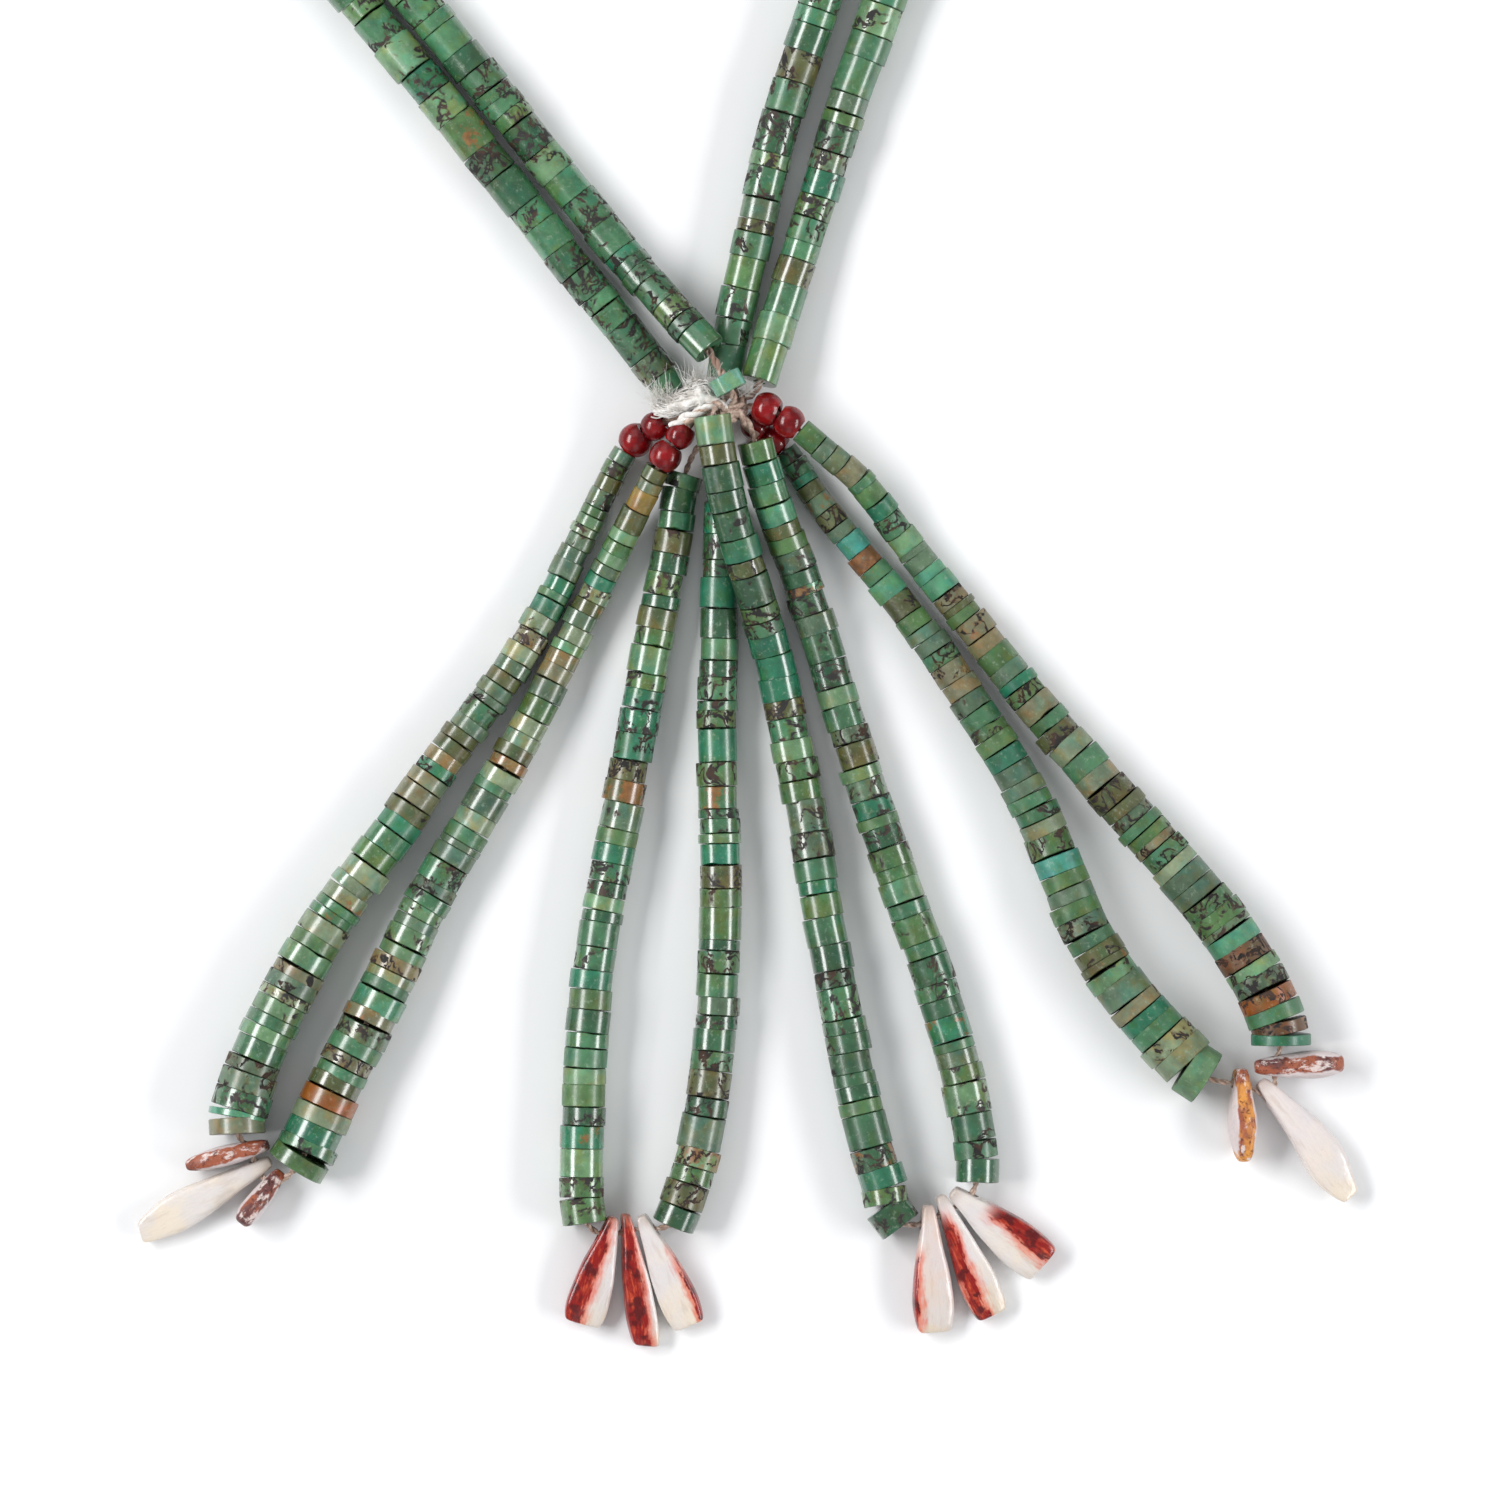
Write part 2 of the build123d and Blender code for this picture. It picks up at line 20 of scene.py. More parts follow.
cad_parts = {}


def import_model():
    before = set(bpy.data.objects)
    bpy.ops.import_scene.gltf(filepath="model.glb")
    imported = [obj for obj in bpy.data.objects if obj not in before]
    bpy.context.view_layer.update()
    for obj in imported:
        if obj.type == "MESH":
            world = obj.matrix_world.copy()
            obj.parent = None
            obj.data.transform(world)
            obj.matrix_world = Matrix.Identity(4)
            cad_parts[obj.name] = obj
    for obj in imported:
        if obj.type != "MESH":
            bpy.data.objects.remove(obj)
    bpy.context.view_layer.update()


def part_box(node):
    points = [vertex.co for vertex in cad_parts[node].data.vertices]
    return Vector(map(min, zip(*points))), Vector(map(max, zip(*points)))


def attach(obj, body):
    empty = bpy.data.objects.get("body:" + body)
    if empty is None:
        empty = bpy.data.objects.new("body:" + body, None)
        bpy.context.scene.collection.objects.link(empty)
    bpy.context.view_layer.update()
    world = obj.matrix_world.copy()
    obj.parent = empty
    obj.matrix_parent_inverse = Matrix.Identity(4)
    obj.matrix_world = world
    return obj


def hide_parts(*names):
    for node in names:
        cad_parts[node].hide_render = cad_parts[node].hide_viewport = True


log = logging.getLogger("necklace")

Point = tuple[float, float, float]
Colour = tuple[float, float, float]
Tube = tuple[np.ndarray, np.ndarray]
Sections = tuple[tuple[float, float, float], ...]
Socket = bpy.types.NodeSocket
Material = bpy.types.Material
Mesh = bpy.types.Mesh
Node = bpy.types.Node
NodeTree = bpy.types.NodeTree

MM = 0.001
KNOT_CENTRE: Point = (2.2, -0.7, 4.5)

# Main strands and pendant loops, as they are strung
STRAND_DIAMETER = 6.5
STRAND_KNOT_DIAMETER = 5.7
STRAND_SPACING = 8.4
STRAND_DISC_LENGTH = 4.0
NECK_RADIUS = 96.0
NECK_CORNERS = 8
NECK_BOW = 2.0
INNER_LOOP_TOP_DIAMETER = 5.8
INNER_LOOP_FOOT_DIAMETER = 6.9
INNER_LOOP_DISC_LENGTH = 3.35
OUTER_LOOP_TOP_DIAMETER = 3.9
OUTER_LOOP_FOOT_DIAMETER = 9.2
OUTER_LOOP_DISC_LENGTH = 2.35
DISC_GAP = 0.05
STRAND_THREAD_DIAMETER = 1.2
LOOP_THREAD_DIAMETER = 0.9
TAB_BORE_DIAMETER = 1.6
GLASS_DIAMETER = 4.4
GLASS_LENGTH = 3.3
KNOT_DISC_DIAMETER = 5.0
KNOT_DISC_LENGTH = 2.7
STRAND_BORE_DIAMETER = 2.0
LOOP_BORE_DIAMETER = 1.9

# Chosen points of the routes. A stretch with discs gives X, Y and its lift; a bare one gives X, Y and Z.
OUTER_LEFT_FRONT = [(-6.1, 1.0, 0), (-9.0, 4.6, 0), (-21.8, 20.6, 0), (-34.8, 37.0, 0), (-46.3, 51.2, 0)]
OUTER_RIGHT_FRONT = [(6.8, 2.6, 3.2), (9.8, 13.2, 0.9), (14.2, 26.1, 0), (18.0, 38.8, 0), (23.2, 54.0, 0)]
INNER_LEFT_FRONT = [(-0.8, 7.2, 5.5), (-3.4, 10.0, 4.7), (-11.9, 19.4, 0.6), (-23.3, 33.5, 0), (-37, 50.8, 0)]
INNER_RIGHT_FRONT = [(1.7, 3.2, 0), (2.9, 12.4, 0), (5.8, 24.4, 0), (8.8, 38.0, 0), (12.9, 52.2, 0)]

OUTER_LEFT_TAIL = [(-0.35, -0.35, 4.0), (-2.6, -0.9, 3.6)]
OUTER_RIGHT_TAIL = [(4.2, 0.55, 5.2), (5.5, 0.3, 5.7)]
INNER_LEFT_TAIL = [(2.75, -0.6, 7.0), (2.9, 0.3, 9.2), (1.9, 2.4, 9.9), (0.6, 4.6, 9.0)]
INNER_RIGHT_TAIL = [(2.0, 1.7, 3.4), (1.55, 2.2, 2.9)]

LOOP_1_OUTER = [
    (-13.7, -7.7, 1.1), (-19.8, -20.2, 0), (-25.1, -31.3, 0), (-31.7, -42.2, 0), (-40.8, -53.9, 0),
    (-48.6, -65.4, 0), (-57.4, -76.9, 0), (-62.9, -86.6, 0), (-67.9, -96.4, 0), (-71.3, -105.6, 0),
    (-71.9, -110.2, 0),
]
LOOP_1_INNER = [
    (-8.6, -10.3, 4.9), (-12.8, -18.9, 2.4), (-17.9, -28.6, 0), (-23.5, -40.0, 0), (-28.7, -50.6, 0),
    (-36.2, -63.3, 0), (-43.1, -74.9, 0), (-47.4, -83.6, 0), (-52.2, -93.4, 0), (-57.3, -103.4, 0),
    (-60.6, -111.0, 0), (-62.7, -115.4, 0),
]
LOOP_2_LEFT = [
    (-4.9, -11.1, 0), (-6.9, -24.0, 0), (-9.6, -37.0, 0), (-11.7, -49.6, 0), (-14.3, -63.5, 0),
    (-17.3, -78.4, 0), (-19.3, -93.5, 0), (-19.9, -108.0, 0), (-20.0, -117.0, 0), (-19.8, -123.6, 0),
]
LOOP_2_RIGHT = [
    (1.1, -15.4, 0), (0.7, -29.0, 0), (0.3, -46.2, 0), (0.6, -64.0, 0), (0.9, -82.0, 0),
    (-0.2, -100.0, 0), (-2.4, -112.6, 0), (-5.4, -122.2, 0), (-6.4, -123.9, 0),
]
LOOP_3_LEFT = [
    (-0.3, -2.4, 7.7), (0.7, -9.4, 7.2), (2.6, -18.4, 6.0), (5.8, -28.7, 3.9), (9.0, -39.6, 0.7),
    (11.3, -50.5, 0), (13.8, -62.6, 0), (15.8, -75.2, 0), (18.0, -87.0, 0), (20.3, -99.2, 0),
    (23.2, -111.1, 0), (25.5, -118.4, 0), (26.0, -121.8, 0), (28.2, -123.9, 0),
]
LOOP_3_RIGHT = [
    (5.9, -6.2, 4.6), (7.8, -13.2, 3.8), (12.0, -24.8, 0.9), (16.3, -36.9, 0), (19.7, -48.9, 0),
    (24.2, -62.4, 0), (29.0, -76.0, 0), (33.0, -87.2, 0), (36.8, -99.4, 0), (39.0, -110.4, 0),
    (39.5, -117.4, 0),
]
LOOP_4_INNER = [
    (10.6, -7.4, 0), (15.1, -14.4, 0), (21.0, -22.1, 0), (27.9, -30.3, 0), (34.4, -39.4, 0),
    (41.1, -49.8, 0), (47.5, -60.1, 0), (51.9, -70.5, 0), (55.9, -80.6, 0), (62.0, -89.6, 0),
    (69.6, -98.3, 0), (73.6, -102.0, 0),
]
LOOP_4_OUTER = [
    (12.75, -4.6, 4.4), (17.4, -8.4, 3.6), (23.3, -13.7, 2.0), (29.5, -22.7, 0), (36.9, -31.6, 0),
    (44.3, -41.2, 0), (52.1, -50.6, 0), (60.0, -59.9, 0), (68.2, -68.9, 0), (75.2, -77.4, 0),
    (81.4, -86.2, 0), (84.4, -92.6, 0), (84.9, -96.8, 0),
]
LOOP_1_OUTER_TAIL = [(-0.2, -1.25, 5.1), (-4.4, -2.1, 5.5), (-9.1, -3.9, 5.1), (-11.9, -6.0, 3.4)]
LOOP_1_INNER_TAIL = [(0.55, -1.5, 6.15), (-2.6, -2.9, 7.0), (-5.3, -5.3, 7.2), (-7.4, -8.5, 7.2)]
LOOP_2_LEFT_TAIL = [(0.6, -2.45, 3.9), (-1.6, -5.2, 3.2)]
LOOP_2_RIGHT_TAIL = [(1.9, -3.1, 4.1), (1.8, -8.6, 3.3)]
LOOP_3_LEFT_TAIL = [(1.1, -0.95, 6.75), (0.1, -1.0, 9.4)]
LOOP_3_RIGHT_TAIL = [(3.45, -2.3, 5.8), (5.3, -3.9, 6.8)]
LOOP_4_INNER_TAIL = [(4.1, -2.1, 3.5), (5.9, -3.8, 2.4), (8.9, -6.0, 2.4)]
LOOP_4_OUTER_TAIL = [(4.6, -0.9, 5.3), (7.9, -1.1, 6.4), (11.1, -3.4, 6.4)]

# Twine of the knot that isn't part of a strand, X, Y and Z
KNOT_TURNS = [
    [(0.3, -1.6, 5.2), (1.6, -2.5, 6.4), (3.4, -2.2, 6.6), (4.2, -0.8, 5.6), (3.9, 0.9, 4.4), (2.0, 1.5, 4.6),
     (0.6, 0.6, 5.9), (0.9, -1.2, 6.9), (2.7, -1.7, 7.2), (3.9, -0.4, 6.6)],
    [(2.4, 1.3, 3.0), (3.9, 0.6, 3.9), (4.5, -1.0, 5.2), (3.9, -2.4, 6.2), (2.5, -2.9, 6.9), (1.2, -2.5, 6.9),
     (0.4, -1.2, 5.9), (0.5, 0.4, 4.6), (1.5, 1.4, 3.4)],
    [(1.2, 0.2, 6.6), (2.0, 1.0, 6.6), (3.3, 0.9, 6.4), (4.1, -0.1, 6.4), (4.1, -1.4, 6.0), (3.0, -2.6, 5.2),
     (1.2, -2.6, 4.4), (0.3, -1.2, 3.6)],
]
KNOT_ENDS = [
    [(3.2, -1.8, 6.4), (4.4, -2.9, 6.6), (5.0, -4.2, 6.5), (6.1, -5.6, 6.6)],
    [(1.4, -0.8, 7.3), (0.0, -0.4, 8.3), (-1.7, -1.5, 8.6), (-3.2, -2.8, 8.5), (-4.3, -3.9, 8.7)],
]

# Cotton beside the knot, X, Y and Z
COTTON_MAIN = [
    (-9.4, -1.4, 6.6), (-7.8, -1.3, 7.5), (-5.9, -1.1, 8.1), (-4.0, 0.1, 8.5), (-2.2, 1.2, 8.4),
    (-0.6, 0.2, 8.0), (0.8, -0.4, 7.2),
]
COTTON_CROWN = [(-4.6, -0.4, 8.2), (-3.2, 1.2, 8.9), (-1.6, 1.9, 9.0), (-0.2, 1.3, 8.4)]
COTTON_SPINE = [
    (-9.0, -1.8, 7.0), (-7.0, -1.2, 7.8), (-4.6, -0.6, 8.3), (-2.4, 0.5, 8.6), (-0.6, 0.0, 8.3),
    (0.9, -0.5, 7.3),
]
COTTON_YARN = [
    (-6.4, -4.2, 7.6), (-5.0, -3.0, 8.4), (-3.0, -2.2, 8.9), (-1.2, -1.2, 8.8), (0.4, -0.6, 8.0),
    (1.6, -0.9, 6.8),
]

# How low and how high its wisps may reach
COTTON_LOWEST = 5.4
COTTON_HIGHEST = 12.6

# Its locks: route, how many fibres, and how far they lie from the route
COTTON_LOCKS = ((COTTON_MAIN, 430, 0.62), (COTTON_CROWN, 190, 0.6))

# Its wisps: how many, lowest and highest corner of the box that they start in, and the way that they go
COTTON_WISPS = (
    (110, (-9.4, -1.2, 7.2), (-6.0, 0.4, 8.8), (-0.35, 0.75, 0.1)),
    (120, (-4.6, 1.2, 8.0), (0.2, 2.6, 9.4), (0.2, 0.75, 0.05)),
    (40, (3.6, 0.2, 7.0), (5.0, 1.0, 7.8), (0.5, 0.6, 0.1)),
)

# Fibres of the cotton: corners, radii, points along each, turn and step from point to point
FIBRE_SIDES = 3
FIBRE_RADIUS_RANGE = (0.07, 0.11)
LOCK_POINTS = 11
LOCK_TWIST = 0.2
WISP_POINTS = 9
WISP_STEP = 0.3
WISP_RADII = (0.05, 0.02)
CORE_RINGS = 60
CORE_SIDES = 16

# Plies of the twine: lay, offset and radius as shares of its diameter, corners, and distance between rings
PLY_LAY_SHARE = 3.4
PLY_OFFSET_SHARE = 0.26
PLY_RADIUS_SHARE = 0.29
THREAD_PLY_SIDES = 6
KNOT_PLY_SIDES = 8
STRAND_PLY_STEP = 0.6
LOOP_PLY_STEP = 0.5
KNOT_PLY_STEP = 0.22
YARN_PLY_STEP = 0.2

# Angles in degrees above which an edge of a piece stays sharp
DISC_CRISP = 40
TAB_CRISP = 50
BEAD_CRISP = 50
TWINE_CRISP = 60
COTTON_CRISP = 180


def from_srgb(red: int, green: int, blue: int) -> Colour:
    """Linear colour of an on-screen one.

    Args:
        red: 0 to 255.
        green: 0 to 255.
        blue: 0 to 255.

    Returns:
        The three linear values.
    """
    shares = (red / 255, green / 255, blue / 255)
    return tuple(c / 12.92 if c <= 0.04045 else ((c + 0.055) / 1.055) ** 2.4 for c in shares)


# How much of each tone's red, green and blue the polished stone keeps
STONE_DEPTH: Colour = (0.80, 0.71, 0.555)


class StoneTone(Enum):
    """The colours that turquoise discs are sorted into."""

    SEA = from_srgb(72, 132, 102)
    LEAF = from_srgb(84, 130, 84)
    DEEP = from_srgb(50, 102, 76)
    JADE = from_srgb(108, 158, 124)
    TEAL = from_srgb(40, 128, 104)
    AQUA = from_srgb(86, 164, 138)
    MINT = from_srgb(110, 190, 182)
    SKY = from_srgb(66, 164, 160)
    GREY_GREEN = from_srgb(92, 126, 108)
    OLIVE = from_srgb(92, 104, 66)
    PALE = from_srgb(138, 164, 142)
    GREIGE = from_srgb(128, 134, 112)
    TAN = from_srgb(138, 132, 100)
    AMBER = from_srgb(150, 130, 56)
    COPPER = from_srgb(156, 94, 30)
    BROWN = from_srgb(112, 80, 50)


Mixture = dict[StoneTone, float]
Standouts = dict[str, tuple[tuple[float, StoneTone, float, float], ...]]


def mixture(**shares: float) -> Mixture:
    """Tones by name, each with its share of the discs."""
    return {StoneTone[name]: share for name, share in shares.items()}


STRAND_MIX = mixture(SEA=34, JADE=17, LEAF=14, DEEP=13, TEAL=7, AQUA=2, OLIVE=4, GREY_GREEN=8, PALE=4)
INNER_LOOP_MIX = mixture(SEA=26, JADE=8, LEAF=16, DEEP=18, TEAL=12, AQUA=2, OLIVE=10, GREY_GREEN=8)
LEFT_LOOP_MIX = mixture(
    GREY_GREEN=25, SEA=15, JADE=12, TEAL=6, AQUA=5, GREIGE=8, OLIVE=6, LEAF=7, TAN=1, PALE=17
)
RIGHT_LOOP_MIX = mixture(
    GREY_GREEN=24, SEA=18, LEAF=15, TEAL=9, OLIVE=12, GREIGE=4, JADE=6, AQUA=5, SKY=1, PALE=6
)


def clear_selection() -> None:
    """Nothing is selected afterwards, whatever was."""
    bpy.ops.object.select_all(action="DESELECT")


def make_active(obj: bpy.types.Object) -> None:
    """Only this object is selected and active."""
    clear_selection()
    obj.select_set(True)
    bpy.context.view_layer.objects.active = obj


def object_of(name: str, mesh: Mesh) -> bpy.types.Object:
    """A new object with that mesh, in the scene."""
    obj = bpy.data.objects.new(name, mesh)
    bpy.context.scene.collection.objects.link(obj)
    return obj


def carry(mesh: Mesh, **vectors: np.ndarray) -> None:
    """Gives every point of a mesh named vectors, for its material to read."""
    for name, rows in vectors.items():
        attribute = mesh.attributes.new(name, "FLOAT_VECTOR", "POINT")
        attribute.data.foreach_set("vector", rows.ravel())


def smoothed(obj: bpy.types.Object, angle: float) -> None:
    """Smooth shading, with edges sharper than an angle in degrees left crisp."""
    make_active(obj)
    bpy.ops.object.shade_smooth_by_angle(angle=math.radians(angle))


class Home:
    """Takes pieces laid out from the knot, in millimetres, to their place in the frame."""

    def __init__(self) -> None:
        """Reads where the knot lies in the frame."""
        low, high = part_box("twine_knot")
        knot = (low + high) / 2
        self.matrix = Matrix.Translation(knot - Vector(KNOT_CENTRE) * MM) @ Matrix.Scale(MM, 4)

    def settle(self, obj: bpy.types.Object, replaces: Sequence[str], finish: Material) -> None:
        """Moves a finished piece into the frame, gives it its material and hides the CAD nodes that it stands
        for.

        Args:
            obj: the piece, laid out from the knot.
            replaces: CAD nodes that it stands for.
            finish: its material.
        """
        obj.data.transform(self.matrix)
        obj.data.materials.clear()
        obj.data.materials.append(finish)
        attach(obj, "root")
        if replaces:
            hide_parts(*replaces)
        log.info("%s: %d faces", obj.name, len(obj.data.polygons))


class Line:
    """A smooth line through the middle of a string, with lengths along it in millimetres."""

    resolution = 24
    shortest_step = 1e-6
    reach = 0.4

    def __init__(self, points: Sequence[Point]) -> None:
        """Draws the line as a NURBS spline with those control points."""
        curve = bpy.data.curves.new("line", "CURVE")
        curve.dimensions = "3D"
        spline = curve.splines.new("NURBS")
        spline.points.add(len(points) - 1)
        for place, point in zip(spline.points, points):
            place.co = (*point, 1.0)
        spline.order_u = 3
        spline.use_endpoint_u = True
        spline.resolution_u = self.resolution
        drawn = object_of("line", curve)
        bpy.context.view_layer.update()
        mesh = bpy.data.meshes.new_from_object(drawn)
        self.points = np.array([v.co[:] for v in mesh.vertices])
        steps = np.linalg.norm(np.diff(self.points, axis=0), axis=1)
        keep = np.concatenate([[True], steps > self.shortest_step])
        self.points = self.points[keep]
        steps = np.linalg.norm(np.diff(self.points, axis=0), axis=1)
        self.along = np.concatenate([[0.0], np.cumsum(steps)])
        self.length = float(self.along[-1])
        bpy.data.objects.remove(drawn)
        bpy.data.curves.remove(curve)
        bpy.data.meshes.remove(mesh)

    def at(self, distance: float) -> Vector:
        """Point at a length along the line."""
        return Vector([float(np.interp(distance, self.along, self.points[:, i])) for i in range(3)])

    def direction(self, distance: float) -> Vector:
        """Unit direction of the line at a length along it."""
        ahead = self.at(min(distance + self.reach, self.length))
        behind = self.at(max(distance - self.reach, 0.0))
        return (ahead - behind).normalized()

    def nearest(self, point: Sequence[float]) -> float:
        """Length along the line to the place nearest to a point."""
        return float(self.along[np.argmin(np.linalg.norm(self.points - np.array(point), axis=1))])

    def stand(self, distance: float) -> Matrix:
        """Axes at a length along the line: Z along it and X level."""
        along = self.direction(distance)
        level = Vector((0, 0, 1)).cross(along).normalized()
        up = along.cross(level)
        turned = Matrix((level, up, along)).transposed().to_4x4()
        return Matrix.Translation(self.at(distance)) @ turned


def laid(points: Sequence[Point], first_diameter: float, last_diameter: float) -> list[Point]:
    """Points of a stretch with discs, raised so that the discs rest on the surface or on their lift.

    Args:
        points: X, Y and lift.
        first_diameter: of the first disc.
        last_diameter: of the last disc.

    Returns:
        X, Y and Z of the middle of the discs.
    """
    along = [0.0]
    for here, after in zip(points, points[1:]):
        along.append(along[-1] + math.dist(here[:2], after[:2]))
    raised = []
    for (x, y, lift), distance in zip(points, along):
        share = distance / along[-1]
        raised.append((x, y, (first_diameter + (last_diameter - first_diameter) * share) / 2 + lift))
    return raised


def opaque(colour: object) -> object:
    """A colour with its alpha added, or an output as it is."""
    return (*colour, 1.0) if isinstance(colour, tuple) else colour


class Board:
    """The nodes of one material or group, placed and wired in few words."""

    def __init__(self, tree: NodeTree) -> None:
        """Starts on a tree."""
        self.tree = tree

    def feed(self, node: Node, sockets: dict) -> None:
        """Gives a node's inputs, by name or number, a value or the output of another node."""
        for key, value in sockets.items():
            if isinstance(value, Socket):
                self.tree.links.new(value, node.inputs[key])
            else:
                node.inputs[key].default_value = value

    def put(self, kind: str, sockets: dict | None = None, **settings: object) -> Node:
        """Places a node.

        Args:
            kind: its type, without the words ShaderNode.
            sockets: values or outputs for its inputs, by name or number.
            **settings: properties of the node.

        Returns:
            The node.
        """
        node = self.tree.nodes.new(kind if kind.startswith("Node") else "ShaderNode" + kind)
        for name, value in settings.items():
            setattr(node, name, value)
        self.feed(node, sockets or {})
        return node

    def math(self, operation: str, first: object, second: object = 0.0) -> Socket:
        """Result of a sum on two numbers."""
        return self.put("Math", {0: first, 1: second}, operation=operation).outputs[0]

    def times(self, first: object, second: object) -> Socket:
        """One number times another."""
        return self.math("MULTIPLY", first, second)

    def plus(self, first: object, second: object) -> Socket:
        """Two numbers added."""
        return self.math("ADD", first, second)

    def less(self, first: object, second: object) -> Socket:
        """One number less another."""
        return self.math("SUBTRACT", first, second)

    def unsigned(self, value: object) -> Socket:
        """A number without its sign."""
        return self.math("ABSOLUTE", value)

    def mix(self, share: object, first: object, second: object, blend: str = "MIX") -> Socket:
        """Two colours mixed by a share."""
        sockets = {0: share, 6: opaque(first), 7: opaque(second)}
        return self.put("Mix", sockets, data_type="RGBA", blend_type=blend).outputs[2]

    def tinted(self, colour: object, tint: object) -> Socket:
        """A colour multiplied by another."""
        return self.mix(1.0, colour, tint, "MULTIPLY")

    def over(self, colour: object, layer: object, mask: Socket, strength: float) -> Socket:
        """A colour with a layer over it, as strong as given where the mask is 1."""
        return self.mix(self.times(mask, strength), colour, layer)

    def step(self, value: object, low: object, high: object) -> Socket:
        """0 below low, 1 above high and a soft step between."""
        sockets = {"Value": value, 1: low, 2: high, 3: 0.0, 4: 1.0}
        return self.put("MapRange", sockets, interpolation_type="SMOOTHSTEP").outputs[0]

    def spread(self, value: object, low: float, high: float, least: float, most: float) -> Socket:
        """A number from low to high, taken evenly to one from least to most."""
        return self.put("MapRange", {"Value": value, 1: low, 2: high, 3: least, 4: most}).outputs[0]

    def noise(self, place: object, scale: object, detail: float, rough: float, twist: float) -> Node:
        """Noise over a place."""
        sockets = {"Vector": place, "Scale": scale, "Detail": detail, "Roughness": rough, "Distortion": twist}
        return self.put("TexNoise", sockets)

    def cloud(
        self, place: object, scale: object, detail: float = 3.0, rough: float = 0.55, twist: float = 0.0
    ) -> Socket:
        """One cloud over a place, mostly between 0.3 and 0.7."""
        return self.noise(place, scale, detail, rough, twist).outputs["Fac"]

    def clouds(
        self, place: object, scale: object, detail: float = 3.0, rough: float = 0.55
    ) -> Sequence[Socket]:
        """Three clouds over a place that have nothing to do with each other."""
        drawn = self.noise(place, scale, detail, rough, 0.0).outputs["Color"]
        return self.put("SeparateColor", {0: drawn}).outputs

    def stray(self, cloud: Socket, reach: float) -> Socket:
        """How far a cloud lies off its middle, times a reach."""
        return self.times(self.less(cloud, 0.5), reach)

    def value(self, name: str, output: str = "Vector") -> Socket:
        """An attribute that the mesh carries."""
        return self.put("Attribute", attribute_name=name).outputs[output]

    def parts(self, name: str) -> Sequence[Socket]:
        """The three numbers of an attribute that the mesh carries."""
        return self.put("SeparateXYZ", {0: self.value(name)}).outputs

    def scaled(self, place: Socket, scale: Point) -> Socket:
        """A place with its three axes scaled."""
        return self.put("Mapping", {"Vector": place, "Scale": scale}).outputs[0]

    def millimetres(self) -> Socket:
        """Place on the object, in millimetres."""
        return self.scaled(self.put("TexCoord").outputs["Object"], (1 / MM, 1 / MM, 1 / MM))

    def relief(self, height: Socket, strength: float, distance: float) -> Socket:
        """Normal of a surface with that height."""
        return self.put("Bump", {"Height": height, "Strength": strength, "Distance": distance}).outputs[0]

    def group(self, name: str, sockets: dict) -> Socket:
        """First output of a shared group, built when it is first asked for."""
        tree = bpy.data.node_groups.get(name) or GROUPS[name]()
        return self.put("Group", sockets, node_tree=tree).outputs[0]


def open_group(
    name: str, numbers: dict[str, float], result: str
) -> tuple[Board, Node, Node]:
    """Starts a shared group with a place, some numbers and one result.

    Args:
        name: of the group.
        numbers: its number inputs and their usual values.
        result: name of its output.

    Returns:
        The board, the input node and the output node.
    """
    tree = bpy.data.node_groups.new(name, "ShaderNodeTree")
    tree.interface.new_socket("Place", in_out="INPUT", socket_type="NodeSocketVector")
    for label, usual in numbers.items():
        socket = tree.interface.new_socket(label, in_out="INPUT", socket_type="NodeSocketFloat")
        socket.default_value = usual
    tree.interface.new_socket(result, in_out="OUTPUT", socket_type="NodeSocketFloat")
    board = Board(tree)
    return board, board.put("NodeGroupInput"), board.put("NodeGroupOutput")


def matrix_veins() -> NodeTree:
    """Wandering cracks filled with dark rock, that swell into blots and fade out."""
    board, given, result = open_group("matrix_veins", {"Scale": 0.3, "Width": 0.04, "Amount": 0.5}, "Mask")
    place, scale, width, amount = given.outputs[:4]
    off = board.unsigned(board.less(board.cloud(place, scale, 4.0, 0.55, 0.7), 0.5))
    swell = board.clouds(place, board.times(scale, 2.2), 3.0, 0.6)[0]
    wide = board.times(board.step(swell, 0.6, 0.68), board.times(amount, 0.19))
    reach = board.plus(width, wide)
    crack = board.less(1.0, board.step(off, board.times(reach, 0.7), reach))
    where = board.cloud(place, board.times(scale, 0.9), 2.0)
    level = board.less(0.57, board.times(amount, 0.2))
    gate = board.step(where, level, board.plus(level, 0.06))
    board.feed(result, {0: board.times(crack, gate)})
    return board.tree


def patches() -> NodeTree:
    """Ragged patches that cover more of the surface as the amount grows."""
    board, given, result = open_group("patches", {"Scale": 0.4, "Amount": 0.3, "Softness": 0.05}, "Mask")
    place, scale, amount, softness = given.outputs[:4]
    ragged = board.cloud(place, scale, 6.0, 0.66)
    level = board.less(0.76, board.times(amount, 0.36))
    board.feed(result, {0: board.step(ragged, level, board.plus(level, softness))})
    return board.tree


def fine_grain() -> NodeTree:
    """Small pits and polishing marks, as a height."""
    board, given, result = open_group("fine_grain", {"Scale": 2.0, "Pits": 0.3}, "Height")
    place, scale, pits = given.outputs[:3]
    waves = board.cloud(place, board.times(scale, 0.35), 2.0)
    dots = board.cloud(place, board.times(scale, 3.0), 2.0)
    board.feed(result, {0: board.less(waves, board.times(board.step(dots, 0.64, 0.72), pits))})
    return board.tree


GROUPS: dict[str, Callable[[], NodeTree]] = {
    "matrix_veins": matrix_veins,
    "patches": patches,
    "fine_grain": fine_grain,
}


def new_material(name: str) -> tuple[Material, Board, Node]:
    """A material with its shader, ready to be wired.

    Args:
        name: of the material.

    Returns:
        The material, its board and its shader node.
    """
    material = bpy.data.materials.new(name)
    material.use_nodes = True
    return material, Board(material.node_tree), material.node_tree.nodes["Principled BSDF"]


